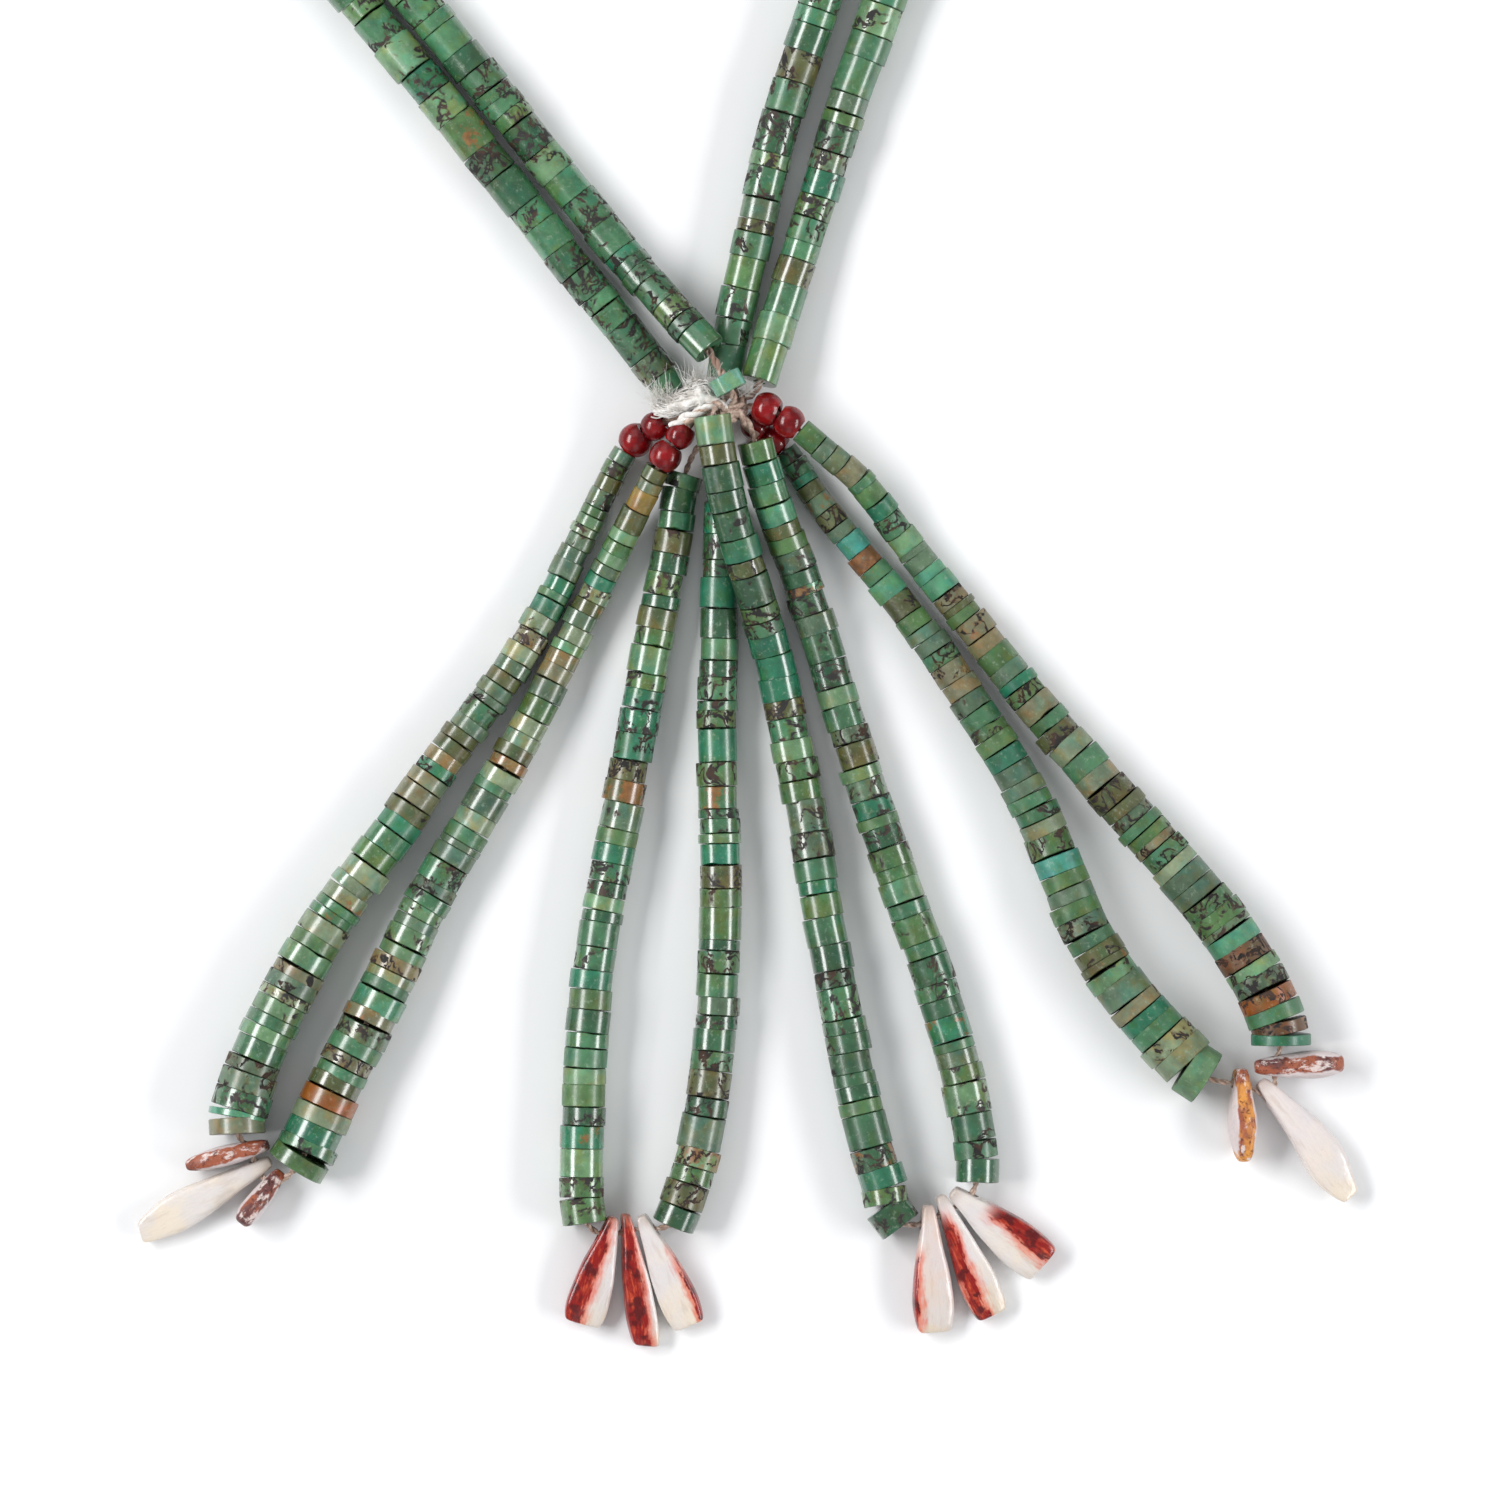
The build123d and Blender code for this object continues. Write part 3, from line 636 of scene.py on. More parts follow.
@dataclass(frozen=True)
class StoneFinish:
    """Polished turquoise with dark matrix, read from each disc's own colour and marks."""

    name: str
    roughness: float
    coat: float
    bump: float = 0.3
    bluish: Colour = (0.55, 1.02, 1.2)
    mossy: Colour = (1.35, 0.88, 0.5)
    fleck: Colour = (0.36, 0.44, 0.33)
    rust_tones: tuple[Colour, Colour] = ((0.06, 0.014, 0.004), (0.42, 0.17, 0.04))
    rock_tones: tuple[Colour, Colour] = ((0.005, 0.004, 0.003), (0.040, 0.016, 0.007))
    stain: Colour = (0.8, 0.5, 0.26)
    # Tint of the disc ends where discs meet: grime in the joints, and painted shade between the discs
    seam_grime_and_shade: Colour = (0.3, 0.2, 0.14)
    vein_scale: float = 0.33
    halo_width: float = 0.075

    def body(self, board: Board, place: Socket) -> Socket:
        """Clouded colour of the stone, before its matrix.

        Args:
            board: of the material.
            place: position in the stone, in millimetres.

        Returns:
            The colour.
        """
        shade = board.spread(board.cloud(place, 0.4, 5.0, 0.62), 0.3, 0.7, 0.66, 1.34)
        grey = board.put("CombineColor", {0: shade, 1: shade, 2: shade}).outputs[0]
        colour = board.tinted(board.value("tone", "Color"), grey)
        cool, warm = board.clouds(place, 0.3)[:2]
        colour = board.over(colour, board.tinted(colour, self.bluish), board.step(cool, 0.5, 0.66), 0.7)
        colour = board.over(colour, board.tinted(colour, self.mossy), board.step(warm, 0.5, 0.64), 0.75)
        flecks = board.step(board.cloud(place, 1.3, 5.0, 0.7), 0.54, 0.7)
        return board.over(colour, board.mix(0.5, colour, self.fleck), flecks, 0.7)

    def make(self) -> Material:
        """The finish as a material."""
        material, board, shader = new_material(self.name)
        place = board.value("cut")
        veins, rust, end = board.parts("marks")[:3]
        colour = self.body(board, place)

        rusty = board.group("patches", {"Place": place, "Scale": 0.3, "Amount": rust, "Softness": 0.09})
        rusty = board.times(rusty, board.step(rust, 0.05, 0.2))
        rust_tone = board.mix(board.cloud(place, 1.0, 4.0), *self.rust_tones)
        colour = board.over(colour, rust_tone, rusty, 0.85)

        veined = board.step(veins, 0.02, 0.1)
        run = {"Place": place, "Scale": self.vein_scale, "Amount": veins}
        crack = board.times(board.group("matrix_veins", run), veined)
        halo = board.group("matrix_veins", {**run, "Width": self.halo_width})
        halo = board.times(halo, board.times(veined, 0.6))
        colour = board.mix(halo, colour, board.tinted(colour, self.stain))
        rock = board.mix(board.step(board.cloud(place, 0.5, 2.0), 0.45, 0.65), *self.rock_tones)
        colour = board.mix(crack, colour, rock)

        # Disc ends, where neighbouring discs meet, are darkened in patches: partly grime in the joints,
        # partly painted shade between the discs
        edge = board.step(board.unsigned(end), 0.89, 1.0)
        seam_dirt_and_shade = board.step(board.cloud(place, 0.7), 0.42, 0.6)
        colour = board.mix(board.times(edge, seam_dirt_and_shade), colour, board.tinted(colour, self.seam_grime_and_shade))

        dull = board.value("tone", "Alpha")
        rough = board.spread(board.cloud(place, 1.1, 4.0), 0.35, 0.7, self.roughness, self.roughness + 0.1)
        rough = board.plus(rough, board.times(crack, 0.45))
        grain = board.group("fine_grain", {"Place": place, "Scale": 1.2, "Pits": 0.2})
        wear = board.less(1.0, board.times(dull, 0.7))
        gloss = board.times(wear, board.less(1.0, crack))
        board.feed(shader, {
            "Base Color": colour,
            "Roughness": board.plus(rough, board.times(dull, 0.24)),
            "Normal": board.relief(board.less(grain, board.times(crack, 0.35)), self.bump, 0.00012),
            "IOR": 1.6,
            "Coat Weight": board.times(gloss, self.coat),
            "Coat Roughness": 0.17,
            "Coat IOR": 1.6,
        })
        return material


@dataclass(frozen=True)
class ShellFinish:
    """Polished face of a cut shell: a white body with a band of colour along it."""

    name: str
    band_at: float
    band_width: float
    band: Colour
    glow: Colour
    begins: float = -0.2
    body: Colour = (0.72, 0.66, 0.62)
    tip: Colour = (0.66, 0.56, 0.44)
    cool: Colour = (0.64, 0.62, 0.65)
    growth_line: Colour = (0.5, 0.4, 0.33)
    maroon: Colour = (0.42, 0.3, 0.6)
    speck: Colour = (0.05, 0.03, 0.02)
    soil: Colour = (0.25, 0.16, 0.12)

    def make(self) -> Material:
        """The finish as a material that reads the place on the tab from its own attribute."""
        material, board, shader = new_material(self.name)
        across, along = board.parts("grown")[:2]
        place = board.value("cut")
        streaks = board.scaled(place, (1.0, 1.0, 0.22))
        drift = board.cloud(place, 0.2, 4.0, 0.6)
        fibre = board.cloud(streaks, 1.6, 4.0, 0.7)
        frayed = board.plus(board.stray(drift, 0.9), board.stray(fibre, 0.7))
        off = board.unsigned(board.plus(board.less(across, self.band_at), frayed))
        grows = board.step(along, self.begins, self.begins + 0.22)
        core = board.less(1.0, board.step(off, self.band_width * 0.72, self.band_width))
        halo = board.less(1.0, board.step(off, self.band_width * 0.85, self.band_width + 0.42))
        core = board.times(core, grows)
        halo = board.times(halo, grows)

        colour = board.mix(board.step(along, 0.4, 1.1), self.body, self.tip)
        colour = board.over(colour, self.cool, board.step(board.cloud(place, 0.16, 2.0), 0.42, 0.62), 0.5)
        lines = board.cloud(streaks, 0.9)
        colour = board.over(colour, self.growth_line, board.step(lines, 0.52, 0.7), 0.35)
        colour = board.over(colour, self.glow, halo, 0.8)
        deep = board.mix(board.step(fibre, 0.48, 0.72), self.band, self.glow)
        maroon = board.tinted(self.band, self.maroon)
        deep = board.mix(board.step(board.cloud(place, 0.42, 4.0), 0.49, 0.6), deep, maroon)
        colour = board.mix(core, colour, deep)
        specks = board.group("patches", {"Place": place, "Scale": 1.1, "Amount": 0.13, "Softness": 0.03})
        colour = board.over(colour, self.speck, specks, 0.8)
        colour = board.over(colour, self.soil, board.less(1.0, board.step(along, 0.0, 0.13)), 0.45)
        height = board.plus(board.times(drift, 2.0), board.times(lines, 0.35))
        board.feed(shader, {
            "Base Color": colour,
            "Roughness": board.spread(fibre, 0.35, 0.7, 0.22, 0.38),
            "Normal": board.relief(height, 0.4, 0.0004),
            "Subsurface Weight": 0.15,
            "Subsurface Radius": (0.0012, 0.0008, 0.0006),
            "Coat Weight": 0.3,
            "Coat Roughness": 0.12,
        })
        return material


@dataclass(frozen=True)
class RindFinish:
    """Cut edge of a shell: layers of brown, orange and chalk between two pale skins."""

    name: str
    core: Colour
    warm: Colour
    chalk: float = 0.5
    skin_at: float = 0.62
    shadow: Colour = (0.3, 0.16, 0.16)
    chalk_tone: Colour = (0.74, 0.63, 0.6)
    skin_tone: Colour = (0.70, 0.62, 0.62)
    pit_tone: Colour = (0.04, 0.02, 0.012)

    def make(self) -> Material:
        """The finish as a material that reads the place on the tab from its own attribute."""
        material, board, shader = new_material(self.name)
        through = board.parts("grown")[2]
        place = board.value("cut")
        drift = board.cloud(place, 0.35, 4.0, 0.6)
        fine = board.cloud(place, 1.4, 5.0, 0.7)
        layers = board.scaled(place, (1.0, 1.0, 0.42))
        banded = board.clouds(layers, 0.4)[0]
        colour = board.mix(board.step(banded, 0.42, 0.58), self.core, self.warm)
        colour = board.mix(board.step(fine, 0.5, 0.64), colour, board.tinted(colour, self.shadow))
        spots = {"Place": layers, "Scale": 0.85, "Amount": self.chalk, "Softness": 0.09}
        colour = board.over(colour, self.chalk_tone, board.group("patches", spots), 0.9)
        near_skin = board.plus(board.unsigned(through), board.stray(drift, 0.8))
        skin = board.step(near_skin, self.skin_at, self.skin_at + 0.14)
        colour = board.over(colour, self.skin_tone, skin, 0.9)
        pits = board.group("patches", {"Place": place, "Scale": 0.7, "Amount": 0.16, "Softness": 0.04})
        height = board.less(board.plus(drift, board.times(fine, 0.6)), pits)
        board.feed(shader, {
            "Base Color": board.mix(pits, colour, self.pit_tone),
            "Roughness": board.spread(fine, 0.35, 0.7, 0.28, 0.6),
            "Normal": board.relief(height, 0.8, 0.0005),
            "Coat Weight": 0.2,
            "Coat Roughness": 0.2,
        })
        return material


@dataclass(frozen=True)
class GlassFinish:
    """Deep red pressed glass, with bubbles and a worn skin."""

    name: str = "red_glass"
    dark: Colour = (0.17, 0.003, 0.006)
    light: Colour = (0.38, 0.007, 0.010)

    def make(self) -> Material:
        """The finish as a material."""
        material, board, shader = new_material(self.name)
        place = board.millimetres()
        depth = board.step(board.cloud(place, 0.4, 4.0), 0.35, 0.65)
        grain = board.group("fine_grain", {"Place": place, "Scale": 1.2, "Pits": 0.3})
        board.feed(shader, {
            "Base Color": board.mix(depth, self.dark, self.light),
            "Roughness": board.spread(board.cloud(place, 1.8, 4.0), 0.4, 0.7, 0.12, 0.3),
            "Normal": board.relief(grain, 0.2, 0.0001),
            "Transmission Weight": 0.35,
            "IOR": 1.5,
            "Subsurface Weight": 0.15,
            "Subsurface Radius": (0.002, 0.0002, 0.0002),
        })
        return material


@dataclass(frozen=True)
class FibreFinish:
    """Twine or cotton: matte fibre, darker in noise patches that are partly stains and partly painted shade
    for the hollows between its strands.
    """

    name: str
    light: Colour
    # Darker tone: stains, and painted shade standing for the hollows between strands
    dark: Colour
    sheen: float

    def make(self) -> Material:
        """The finish as a material."""
        material, board, shader = new_material(self.name)
        place = board.millimetres()
        # Noise patches that take the darker tone: painted shade for the hollows between strands, and stains
        tuft = board.step(board.cloud(place, 1.3, 4.0, 0.7), 0.35, 0.65)
        stain = board.step(board.cloud(place, 0.3, 2.0), 0.3, 0.55)
        board.feed(shader, {
            "Base Color": board.mix(board.times(tuft, stain), self.dark, self.light),
            "Normal": board.relief(board.cloud(place, 6.0), 0.5, 0.0001),
            "Roughness": 0.85,
            "Sheen Weight": self.sheen,
        })
        return material


def turned(profile: Sequence[tuple[float, float]], sides: int) -> Mesh:
    """A drilled round body, drawn ring by ring from one mouth of its bore out and back to it.

    Args:
        profile: radius and height of each ring. The last is the same as the first.
        sides: corners of a ring.

    Returns:
        Its closed mesh.
    """
    clear_selection()
    bpy.ops.mesh.primitive_circle_add(vertices=sides, radius=profile[0][0], location=(0, 0, 0))
    obj = bpy.context.active_object
    bpy.ops.object.mode_set(mode="EDIT")
    bpy.ops.mesh.select_all(action="SELECT")
    bpy.ops.transform.translate(value=(0, 0, profile[0][1]))
    for (r0, z0), (r1, z1) in zip(profile, profile[1:]):
        bpy.ops.mesh.extrude_edges_move(TRANSFORM_OT_translate={"value": (0, 0, z1 - z0)})
        bpy.ops.transform.resize(value=(r1 / r0, r1 / r0, 1.0), center_override=(0, 0, z1))
    bpy.ops.mesh.select_all(action="SELECT")
    bpy.ops.mesh.remove_doubles(threshold=0.001)
    bpy.ops.mesh.normals_make_consistent(inside=False)
    bpy.ops.object.mode_set(mode="OBJECT")
    mesh = obj.data
    bpy.data.objects.remove(obj)
    return mesh


@dataclass
class DiscPattern:
    """A drilled disc in millimetres, made once and stretched to each disc's size."""

    sides: int = 18
    radius: float = 3.0
    half_length: float = 1.5
    bore: float = 1.0
    ease: float = 0.1
    vertices: np.ndarray = field(init=False)
    faces: np.ndarray = field(init=False)

    def __post_init__(self) -> None:
        """Turns the disc from its profile, with eased rims."""
        half = self.half_length
        mesh = turned([
            (self.bore, -half),
            (self.radius - self.ease, -half),
            (self.radius, -half + self.ease),
            (self.radius, half - self.ease),
            (self.radius - self.ease, half),
            (self.bore, half),
            (self.bore, -half),
        ], self.sides)
        self.vertices = np.array([v.co[:] for v in mesh.vertices])
        self.faces = np.array([p.vertices[:] for p in mesh.polygons])

    def stretched(self, radius: float, half_length: float, bore: float) -> np.ndarray:
        """The disc's vertices at another size, with its rims eased as before.

        Args:
            radius: of the disc.
            half_length: half of its length along the bore.
            bore: radius of the bore.

        Returns:
            The moved vertices.
        """
        points = self.vertices.copy()
        out = np.hypot(points[:, 0], points[:, 1])
        wanted = np.where(out > self.bore * 1.2, out + radius - self.radius, bore)
        points[:, :2] *= (wanted / out)[:, None]
        short = min(1.0, half_length / (2.2 * self.ease))
        inset = (self.half_length - np.abs(points[:, 2])) * short
        points[:, 2] = np.sign(points[:, 2]) * (half_length - inset)
        return points


@dataclass(frozen=True)
class Feature:
    """A disc that stands out where it lies: its place along the string, its colour and its marks."""

    at: float
    tone: StoneTone
    veins: float = 0.0
    rust: float = 0.0


# Any turn, in radians
ANY_TURN = (0.0, 6.28)

# How the discs of a string differ: ranges that are drawn from evenly, as shares, with the chips in mm
DIAMETER_RANGE = (0.94, 1.01)
VEINS_RANGE = (0.15, 0.95)
RUST_RANGE = (0.3, 0.8)
LIGHT_RANGE = (0.82, 1.16)
CHIP_DEPTH_RANGE = (0.1, 0.32)

# Shares of the usual length that the shortest and the longest disc may have
SHORTEST_SHARE = 0.45
LONGEST_SHARE = 1.55

# How far a disc is oval or lobed, as shares of its radius, and how much one end leans over the other
OVAL_SHARE = 0.022
LOBED_SHARE = 0.011
WEDGE_DEGREES = 0.9

# Share of the discs that are chipped, and the reach of a chip along the rim, in radians
CHIPPED_SHARE = 0.35
CHIP_REACH = 0.33

# How far apart in the rough stone two discs may be cut, in mm
STONE_SPREAD = 500


@dataclass
class DiscString:
    """One string of discs along part of a line."""

    name: str
    line: Line
    start: float
    end: float
    diameters: list[tuple[float, float]]
    disc_length: float
    bore_diameter: float
    mixture: Mixture
    finish: Material
    stands_for: tuple[str, ...]
    seed: int
    features: tuple[Feature, ...] = ()
    length_spread: float = 0.30
    lean: float = 1.6
    slip: float = 0.12
    veined: float = 0.55
    rusted: float = 0.07
    light: float = 1.0

    def lengths(self, draw: random.Random) -> list[float]:
        """Lengths of all the discs, drawn and then fitted to the stretch."""
        room = self.end - self.start
        drawn: list[float] = []
        while sum(drawn) + DISC_GAP * len(drawn) < room:
            share = min(max(draw.gauss(1.0, self.length_spread), SHORTEST_SHARE), LONGEST_SHARE)
            drawn.append(self.disc_length * share)
        spare = (room - DISC_GAP * (len(drawn) - 1)) / sum(drawn)
        return [length * spare for length in drawn]

    def look(self, middle: float, length: float, draw: random.Random) -> tuple[list[float], float, float]:
        """Colour and marks of a disc, drawn unless it is one that stands out.

        Args:
            middle: length along the line to its middle.
            length: its own length.
            draw: the draws of this string.

        Returns:
            Its colour with its dullness, its matrix and its rust.
        """
        tone = draw.choices(list(self.mixture), list(self.mixture.values()))[0]
        veins = draw.uniform(*VEINS_RANGE) if draw.random() < self.veined else 0.0
        rust = draw.uniform(*RUST_RANGE) if draw.random() < self.rusted else 0.0
        light = draw.uniform(*LIGHT_RANGE)
        dull = draw.random() ** 2
        for feature in self.features:
            if abs(middle - feature.at) < length / 2 + DISC_GAP / 2:
                tone, veins, rust, light = feature.tone, feature.veins, feature.rust, 1.0
        shade = [c * depth * light * self.light for c, depth in zip(tone.value, STONE_DEPTH)]
        return [*shade, dull], veins, rust

    def cut(self, points: np.ndarray, diameter: float, half: float, draw: random.Random) -> np.ndarray:
        """Makes a disc slightly oval and wedge-shaped and, now and then, chips one rim.

        Args:
            points: of the true disc.
            diameter: of the disc.
            half: half of its length.
            draw: the draws of this string.

        Returns:
            The moved points.
        """
        around = np.arctan2(points[:, 1], points[:, 0])
        rim = np.hypot(points[:, 0], points[:, 1]) > self.bore_diameter
        ovals = 1 + OVAL_SHARE * np.cos(2 * around + draw.uniform(*ANY_TURN))
        ovals += LOBED_SHARE * np.cos(3 * around + draw.uniform(*ANY_TURN))
        points[:, :2] *= np.where(rim, ovals, 1.0)[:, None]
        wedge = math.tan(math.radians(draw.gauss(0, WEDGE_DEGREES)))
        points[:, 2] += points[:, 0] * wedge * np.sign(points[:, 2]) * 0.5
        if draw.random() < CHIPPED_SHARE:
            chip = draw.uniform(-math.pi, math.pi)
            side = draw.choice((-1, 1))
            near = np.exp(-((np.angle(np.exp(1j * (around - chip))) / CHIP_REACH) ** 2))
            bite = near * draw.uniform(*CHIP_DEPTH_RANGE) * rim * (np.sign(points[:, 2]) == side)
            points[:, 2] -= side * np.minimum(bite, half * 0.5)
            points[:, :2] *= (1 - bite * 0.35 / (diameter / 2))[:, None]
        return points

    def strung(self, points: np.ndarray, middle: float, draw: random.Random) -> np.ndarray:
        """Points of a disc turned, tilted and slipped on its thread, and kept above the surface."""
        turn = Matrix.Rotation(draw.uniform(*ANY_TURN), 4, "Z")
        tilt = Matrix.Rotation(math.radians(draw.gauss(0, self.lean)), 4, "X")
        tilt = tilt @ Matrix.Rotation(math.radians(draw.gauss(0, self.lean * 0.6)), 4, "Y")
        slip = Matrix.Translation((draw.gauss(0, self.slip), draw.uniform(-self.slip, 0.0), 0))
        matrix = np.array(self.line.stand(middle) @ slip @ tilt @ turn)
        lying = points @ matrix[:3, :3].T + matrix[:3, 3]
        lying[:, 2] -= min(lying[:, 2].min(), 0.0)
        return lying

    def build(self, pattern: DiscPattern, home: Home) -> None:
        """Strings the discs and settles them in the frame as one piece.

        Args:
            pattern: the disc that all are stretched from.
            home: takes the piece into the frame.
        """
        draw = random.Random(self.seed)
        places, faces, colours, marks, cuts = [], [], [], [], []
        edge = self.start
        for length in self.lengths(draw):
            half = length / 2
            middle = edge + half
            edge += length + DISC_GAP
            diameter = np.interp(middle, *zip(*self.diameters)) * draw.uniform(*DIAMETER_RANGE)
            colour, veins, rust = self.look(middle, length, draw)
            true = pattern.stretched(diameter / 2, half, self.bore_diameter / 2)
            points = self.cut(true, diameter, half, draw)
            lying = self.strung(points, middle, draw)
            cuts.append(points + np.array([draw.uniform(-STONE_SPREAD, STONE_SPREAD) for _ in range(3)]))
            ends = points[:, 2] / half
            marks.append(np.stack([np.full(len(points), veins), np.full(len(points), rust), ends], axis=1))
            colours.append(np.tile(colour, (len(points), 1)))
            faces.append(pattern.faces + len(places) * len(points))
            places.append(lying)
        mesh = bpy.data.meshes.new(self.name)
        mesh.from_pydata(np.concatenate(places).tolist(), [], np.concatenate(faces).tolist())
        attribute = mesh.attributes.new("tone", "FLOAT_COLOR", "POINT")
        attribute.data.foreach_set("color", np.concatenate(colours).ravel())
        carry(mesh, marks=np.concatenate(marks), cut=np.concatenate(cuts))
        obj = object_of(self.name, mesh)
        smoothed(obj, DISC_CRISP)
        home.settle(obj, self.stands_for, self.finish)
        log.info("%s: %d discs", self.name, len(places))


def tube_along(points: np.ndarray, radius: float | np.ndarray, sides: int) -> Tube:
    """A closed tube round a row of points.

    Args:
        points: the row.
        radius: of the tube, the same all along or one for each point.
        sides: corners of its section.

    Returns:
        Its vertices and its four-cornered faces.
    """
    ahead = np.gradient(points, axis=0)
    ahead /= np.linalg.norm(ahead, axis=1)[:, None]
    side = np.cross(ahead, [0.31, 0.17, 0.93])
    side /= np.linalg.norm(side, axis=1)[:, None]
    other = np.cross(ahead, side)
    turn = np.arange(sides) * 2 * np.pi / sides
    size = np.broadcast_to(radius, len(points))[:, None, None]
    ring = np.cos(turn)[None, :, None] * side[:, None, :] + np.sin(turn)[None, :, None] * other[:, None, :]
    vertices = (points[:, None, :] + ring * size).reshape(-1, 3)
    count = len(points)
    faces = [
        (i * sides + j, i * sides + (j + 1) % sides, (i + 1) * sides + (j + 1) % sides, (i + 1) * sides + j)
        for i in range(count - 1)
        for j in range(sides)
    ]
    return vertices, np.array(faces)


def fibres_mesh(name: str, tubes: list[Tube], sides: int) -> Mesh:
    """Tubes joined in one mesh, with their ends closed."""
    vertices, faces = [], []
    base = 0
    for points, quads in tubes:
        vertices.append(points)
        faces += (quads + base).tolist()
        faces.append(list(range(base + sides - 1, base - 1, -1)))
        faces.append(list(range(base + len(points) - sides, base + len(points))))
        base += len(points)
    mesh = bpy.data.meshes.new(name)
    mesh.from_pydata(np.concatenate(vertices).tolist(), [], faces)
    mesh.validate()
    return mesh


def plies(line: Line, diameter: float, step: float, sides: int) -> list[Tube]:
    """Two plies laid round each other along a line.

    Args:
        line: the middle of the twine.
        diameter: of the whole twine.
        step: distance between rings.
        sides: corners of a ply's section.

    Returns:
        The tubes of both plies.
    """
    lay = diameter * PLY_LAY_SHARE
    stops = np.linspace(0, line.length, max(int(line.length / step), 4))
    stands = [np.array(line.stand(stop)) for stop in stops]
    spread = diameter * PLY_OFFSET_SHARE
    tubes = []
    for half_turn in (0.0, math.pi):
        turn = stops / lay * 2 * math.pi + half_turn
        local = np.stack([np.cos(turn) * spread, np.sin(turn) * spread, np.zeros_like(turn)], axis=1)
        points = np.array([s[:3, :3] @ p + s[:3, 3] for s, p in zip(stands, local)])
        tubes.append(tube_along(points, diameter * PLY_RADIUS_SHARE, sides))
    return tubes


def fibre_piece(
    name: str, tubes: list[Tube], sides: int, crisp: float,
    home: Home, replaces: Sequence[str], finish: Material,
) -> None:
    """Joins tubes in one piece and settles it in the frame.

    Args:
        name: of the piece.
        tubes: that it is made of.
        sides: corners of their sections.
        crisp: angle in degrees above which an edge stays sharp.
        home: takes the piece into the frame.
        replaces: CAD nodes that it stands for.
        finish: its material.
    """
    obj = object_of(name, fibres_mesh(name, tubes, sides))
    smoothed(obj, crisp)
    home.settle(obj, replaces, finish)


def lay_thread(name: str, line: Line, diameter: float, step: float, home: Home, twine: Material) -> None:
    """Lays the two-ply thread of a strand or loop all along its line."""
    tubes = plies(line, diameter, step, THREAD_PLY_SIDES)
    replaces = (f"{name}_thread",)
    fibre_piece(f"{name}_twine", tubes, THREAD_PLY_SIDES, TWINE_CRISP, home, replaces, twine)


@dataclass
class MainStrand:
    """One of the two strands that go round the neck."""

    name: str
    left_tail: list[Point]
    left_front: list[Point]
    right_front: list[Point]
    right_tail: list[Point]
    radius: float
    seed: int
    veined: float = 0.68
    line: Line = field(init=False)

    def corners(self) -> list[Point]:
        """Corners of the stretch round the back of the neck, from its left end to its right."""
        left = Vector(OUTER_LEFT_FRONT[-1][:2]) - Vector(OUTER_LEFT_FRONT[1][:2])
        right = Vector(OUTER_RIGHT_FRONT[-1][:2]) - Vector(OUTER_RIGHT_FRONT[1][:2])
        left_angle = math.atan2(left.y, left.x)
        right_angle = math.atan2(right.y, right.x)
        half = (left_angle - right_angle) / 2
        middle = (left_angle + right_angle) / 2
        foot = Vector(OUTER_LEFT_FRONT[1][:2])
        gap = Vector(OUTER_RIGHT_FRONT[1][:2]) - foot
        shift = (gap.x * math.sin(right_angle) - gap.y * math.cos(right_angle)) / math.sin(2 * half)
        apex = foot - left.normalized() * abs(shift)
        centre = apex + Vector((math.cos(middle), math.sin(middle))) * (NECK_RADIUS / math.sin(half))
        begin = left_angle + math.pi / 2
        step = (math.pi + 2 * half) / NECK_CORNERS
        out = self.radius / math.cos(step / 2)
        turns = [begin - step * (i + 0.5) for i in range(NECK_CORNERS)]
        height = STRAND_DIAMETER / 2
        return [(centre.x + out * math.cos(t), centre.y + out * math.sin(t), height) for t in turns]

    def bowed(self, here: Point, there: Point, side: int) -> Point:
        """Point halfway between two others, stepped out to one side."""
        run = Vector(there[:2]) - Vector(here[:2])
        out = Vector((run.y, -run.x)).normalized() * (NECK_BOW * side)
        middle = (Vector(here[:2]) + Vector(there[:2])) / 2 + out
        return (middle.x, middle.y, STRAND_DIAMETER / 2)

    def build(self, pattern: DiscPattern, home: Home, stone: Material, twine: Material) -> None:
        """Strings the strand and lays its thread."""
        left = laid(self.left_front, STRAND_KNOT_DIAMETER, STRAND_DIAMETER)
        right = laid(self.right_front, STRAND_KNOT_DIAMETER, STRAND_DIAMETER)
        corners = self.corners()
        back = [self.bowed(left[-1], corners[0], -1), *corners, self.bowed(right[-1], corners[-1], 1)]
        self.line = Line([*self.left_tail, *left, *back, *reversed(right), *reversed(self.right_tail)])
        line = self.line
        start = line.nearest(left[0])
        end = line.nearest(right[0])
        diameters = [
            (start, STRAND_KNOT_DIAMETER),
            (line.nearest(left[-1]), STRAND_DIAMETER),
            (line.nearest(right[-1]), STRAND_DIAMETER),
            (end, STRAND_KNOT_DIAMETER),
        ]
        DiscString(
            f"{self.name}_discs", line, start, end, diameters, STRAND_DISC_LENGTH, STRAND_BORE_DIAMETER,
            STRAND_MIX, stone, (f"{self.name}_front", f"{self.name}_back"), self.seed, veined=self.veined,
        ).build(pattern, home)
        lay_thread(self.name, line, STRAND_THREAD_DIAMETER, STRAND_PLY_STEP, home, twine)


@dataclass(frozen=True)
class TabShape:
    """A shell tab: its hole, the way it points, how far it leans over, its size and its finish."""

    hole: Point
    heading: float
    roll: float
    length: float
    width: float
    thickness: float
    hole_drop: float
    sections: Sections
    finish: ShellFinish | RindFinish
    slant: float = 0.0
    sway: float = 0.0
    taper: float = 0.12
    taper_from: float = 0.7


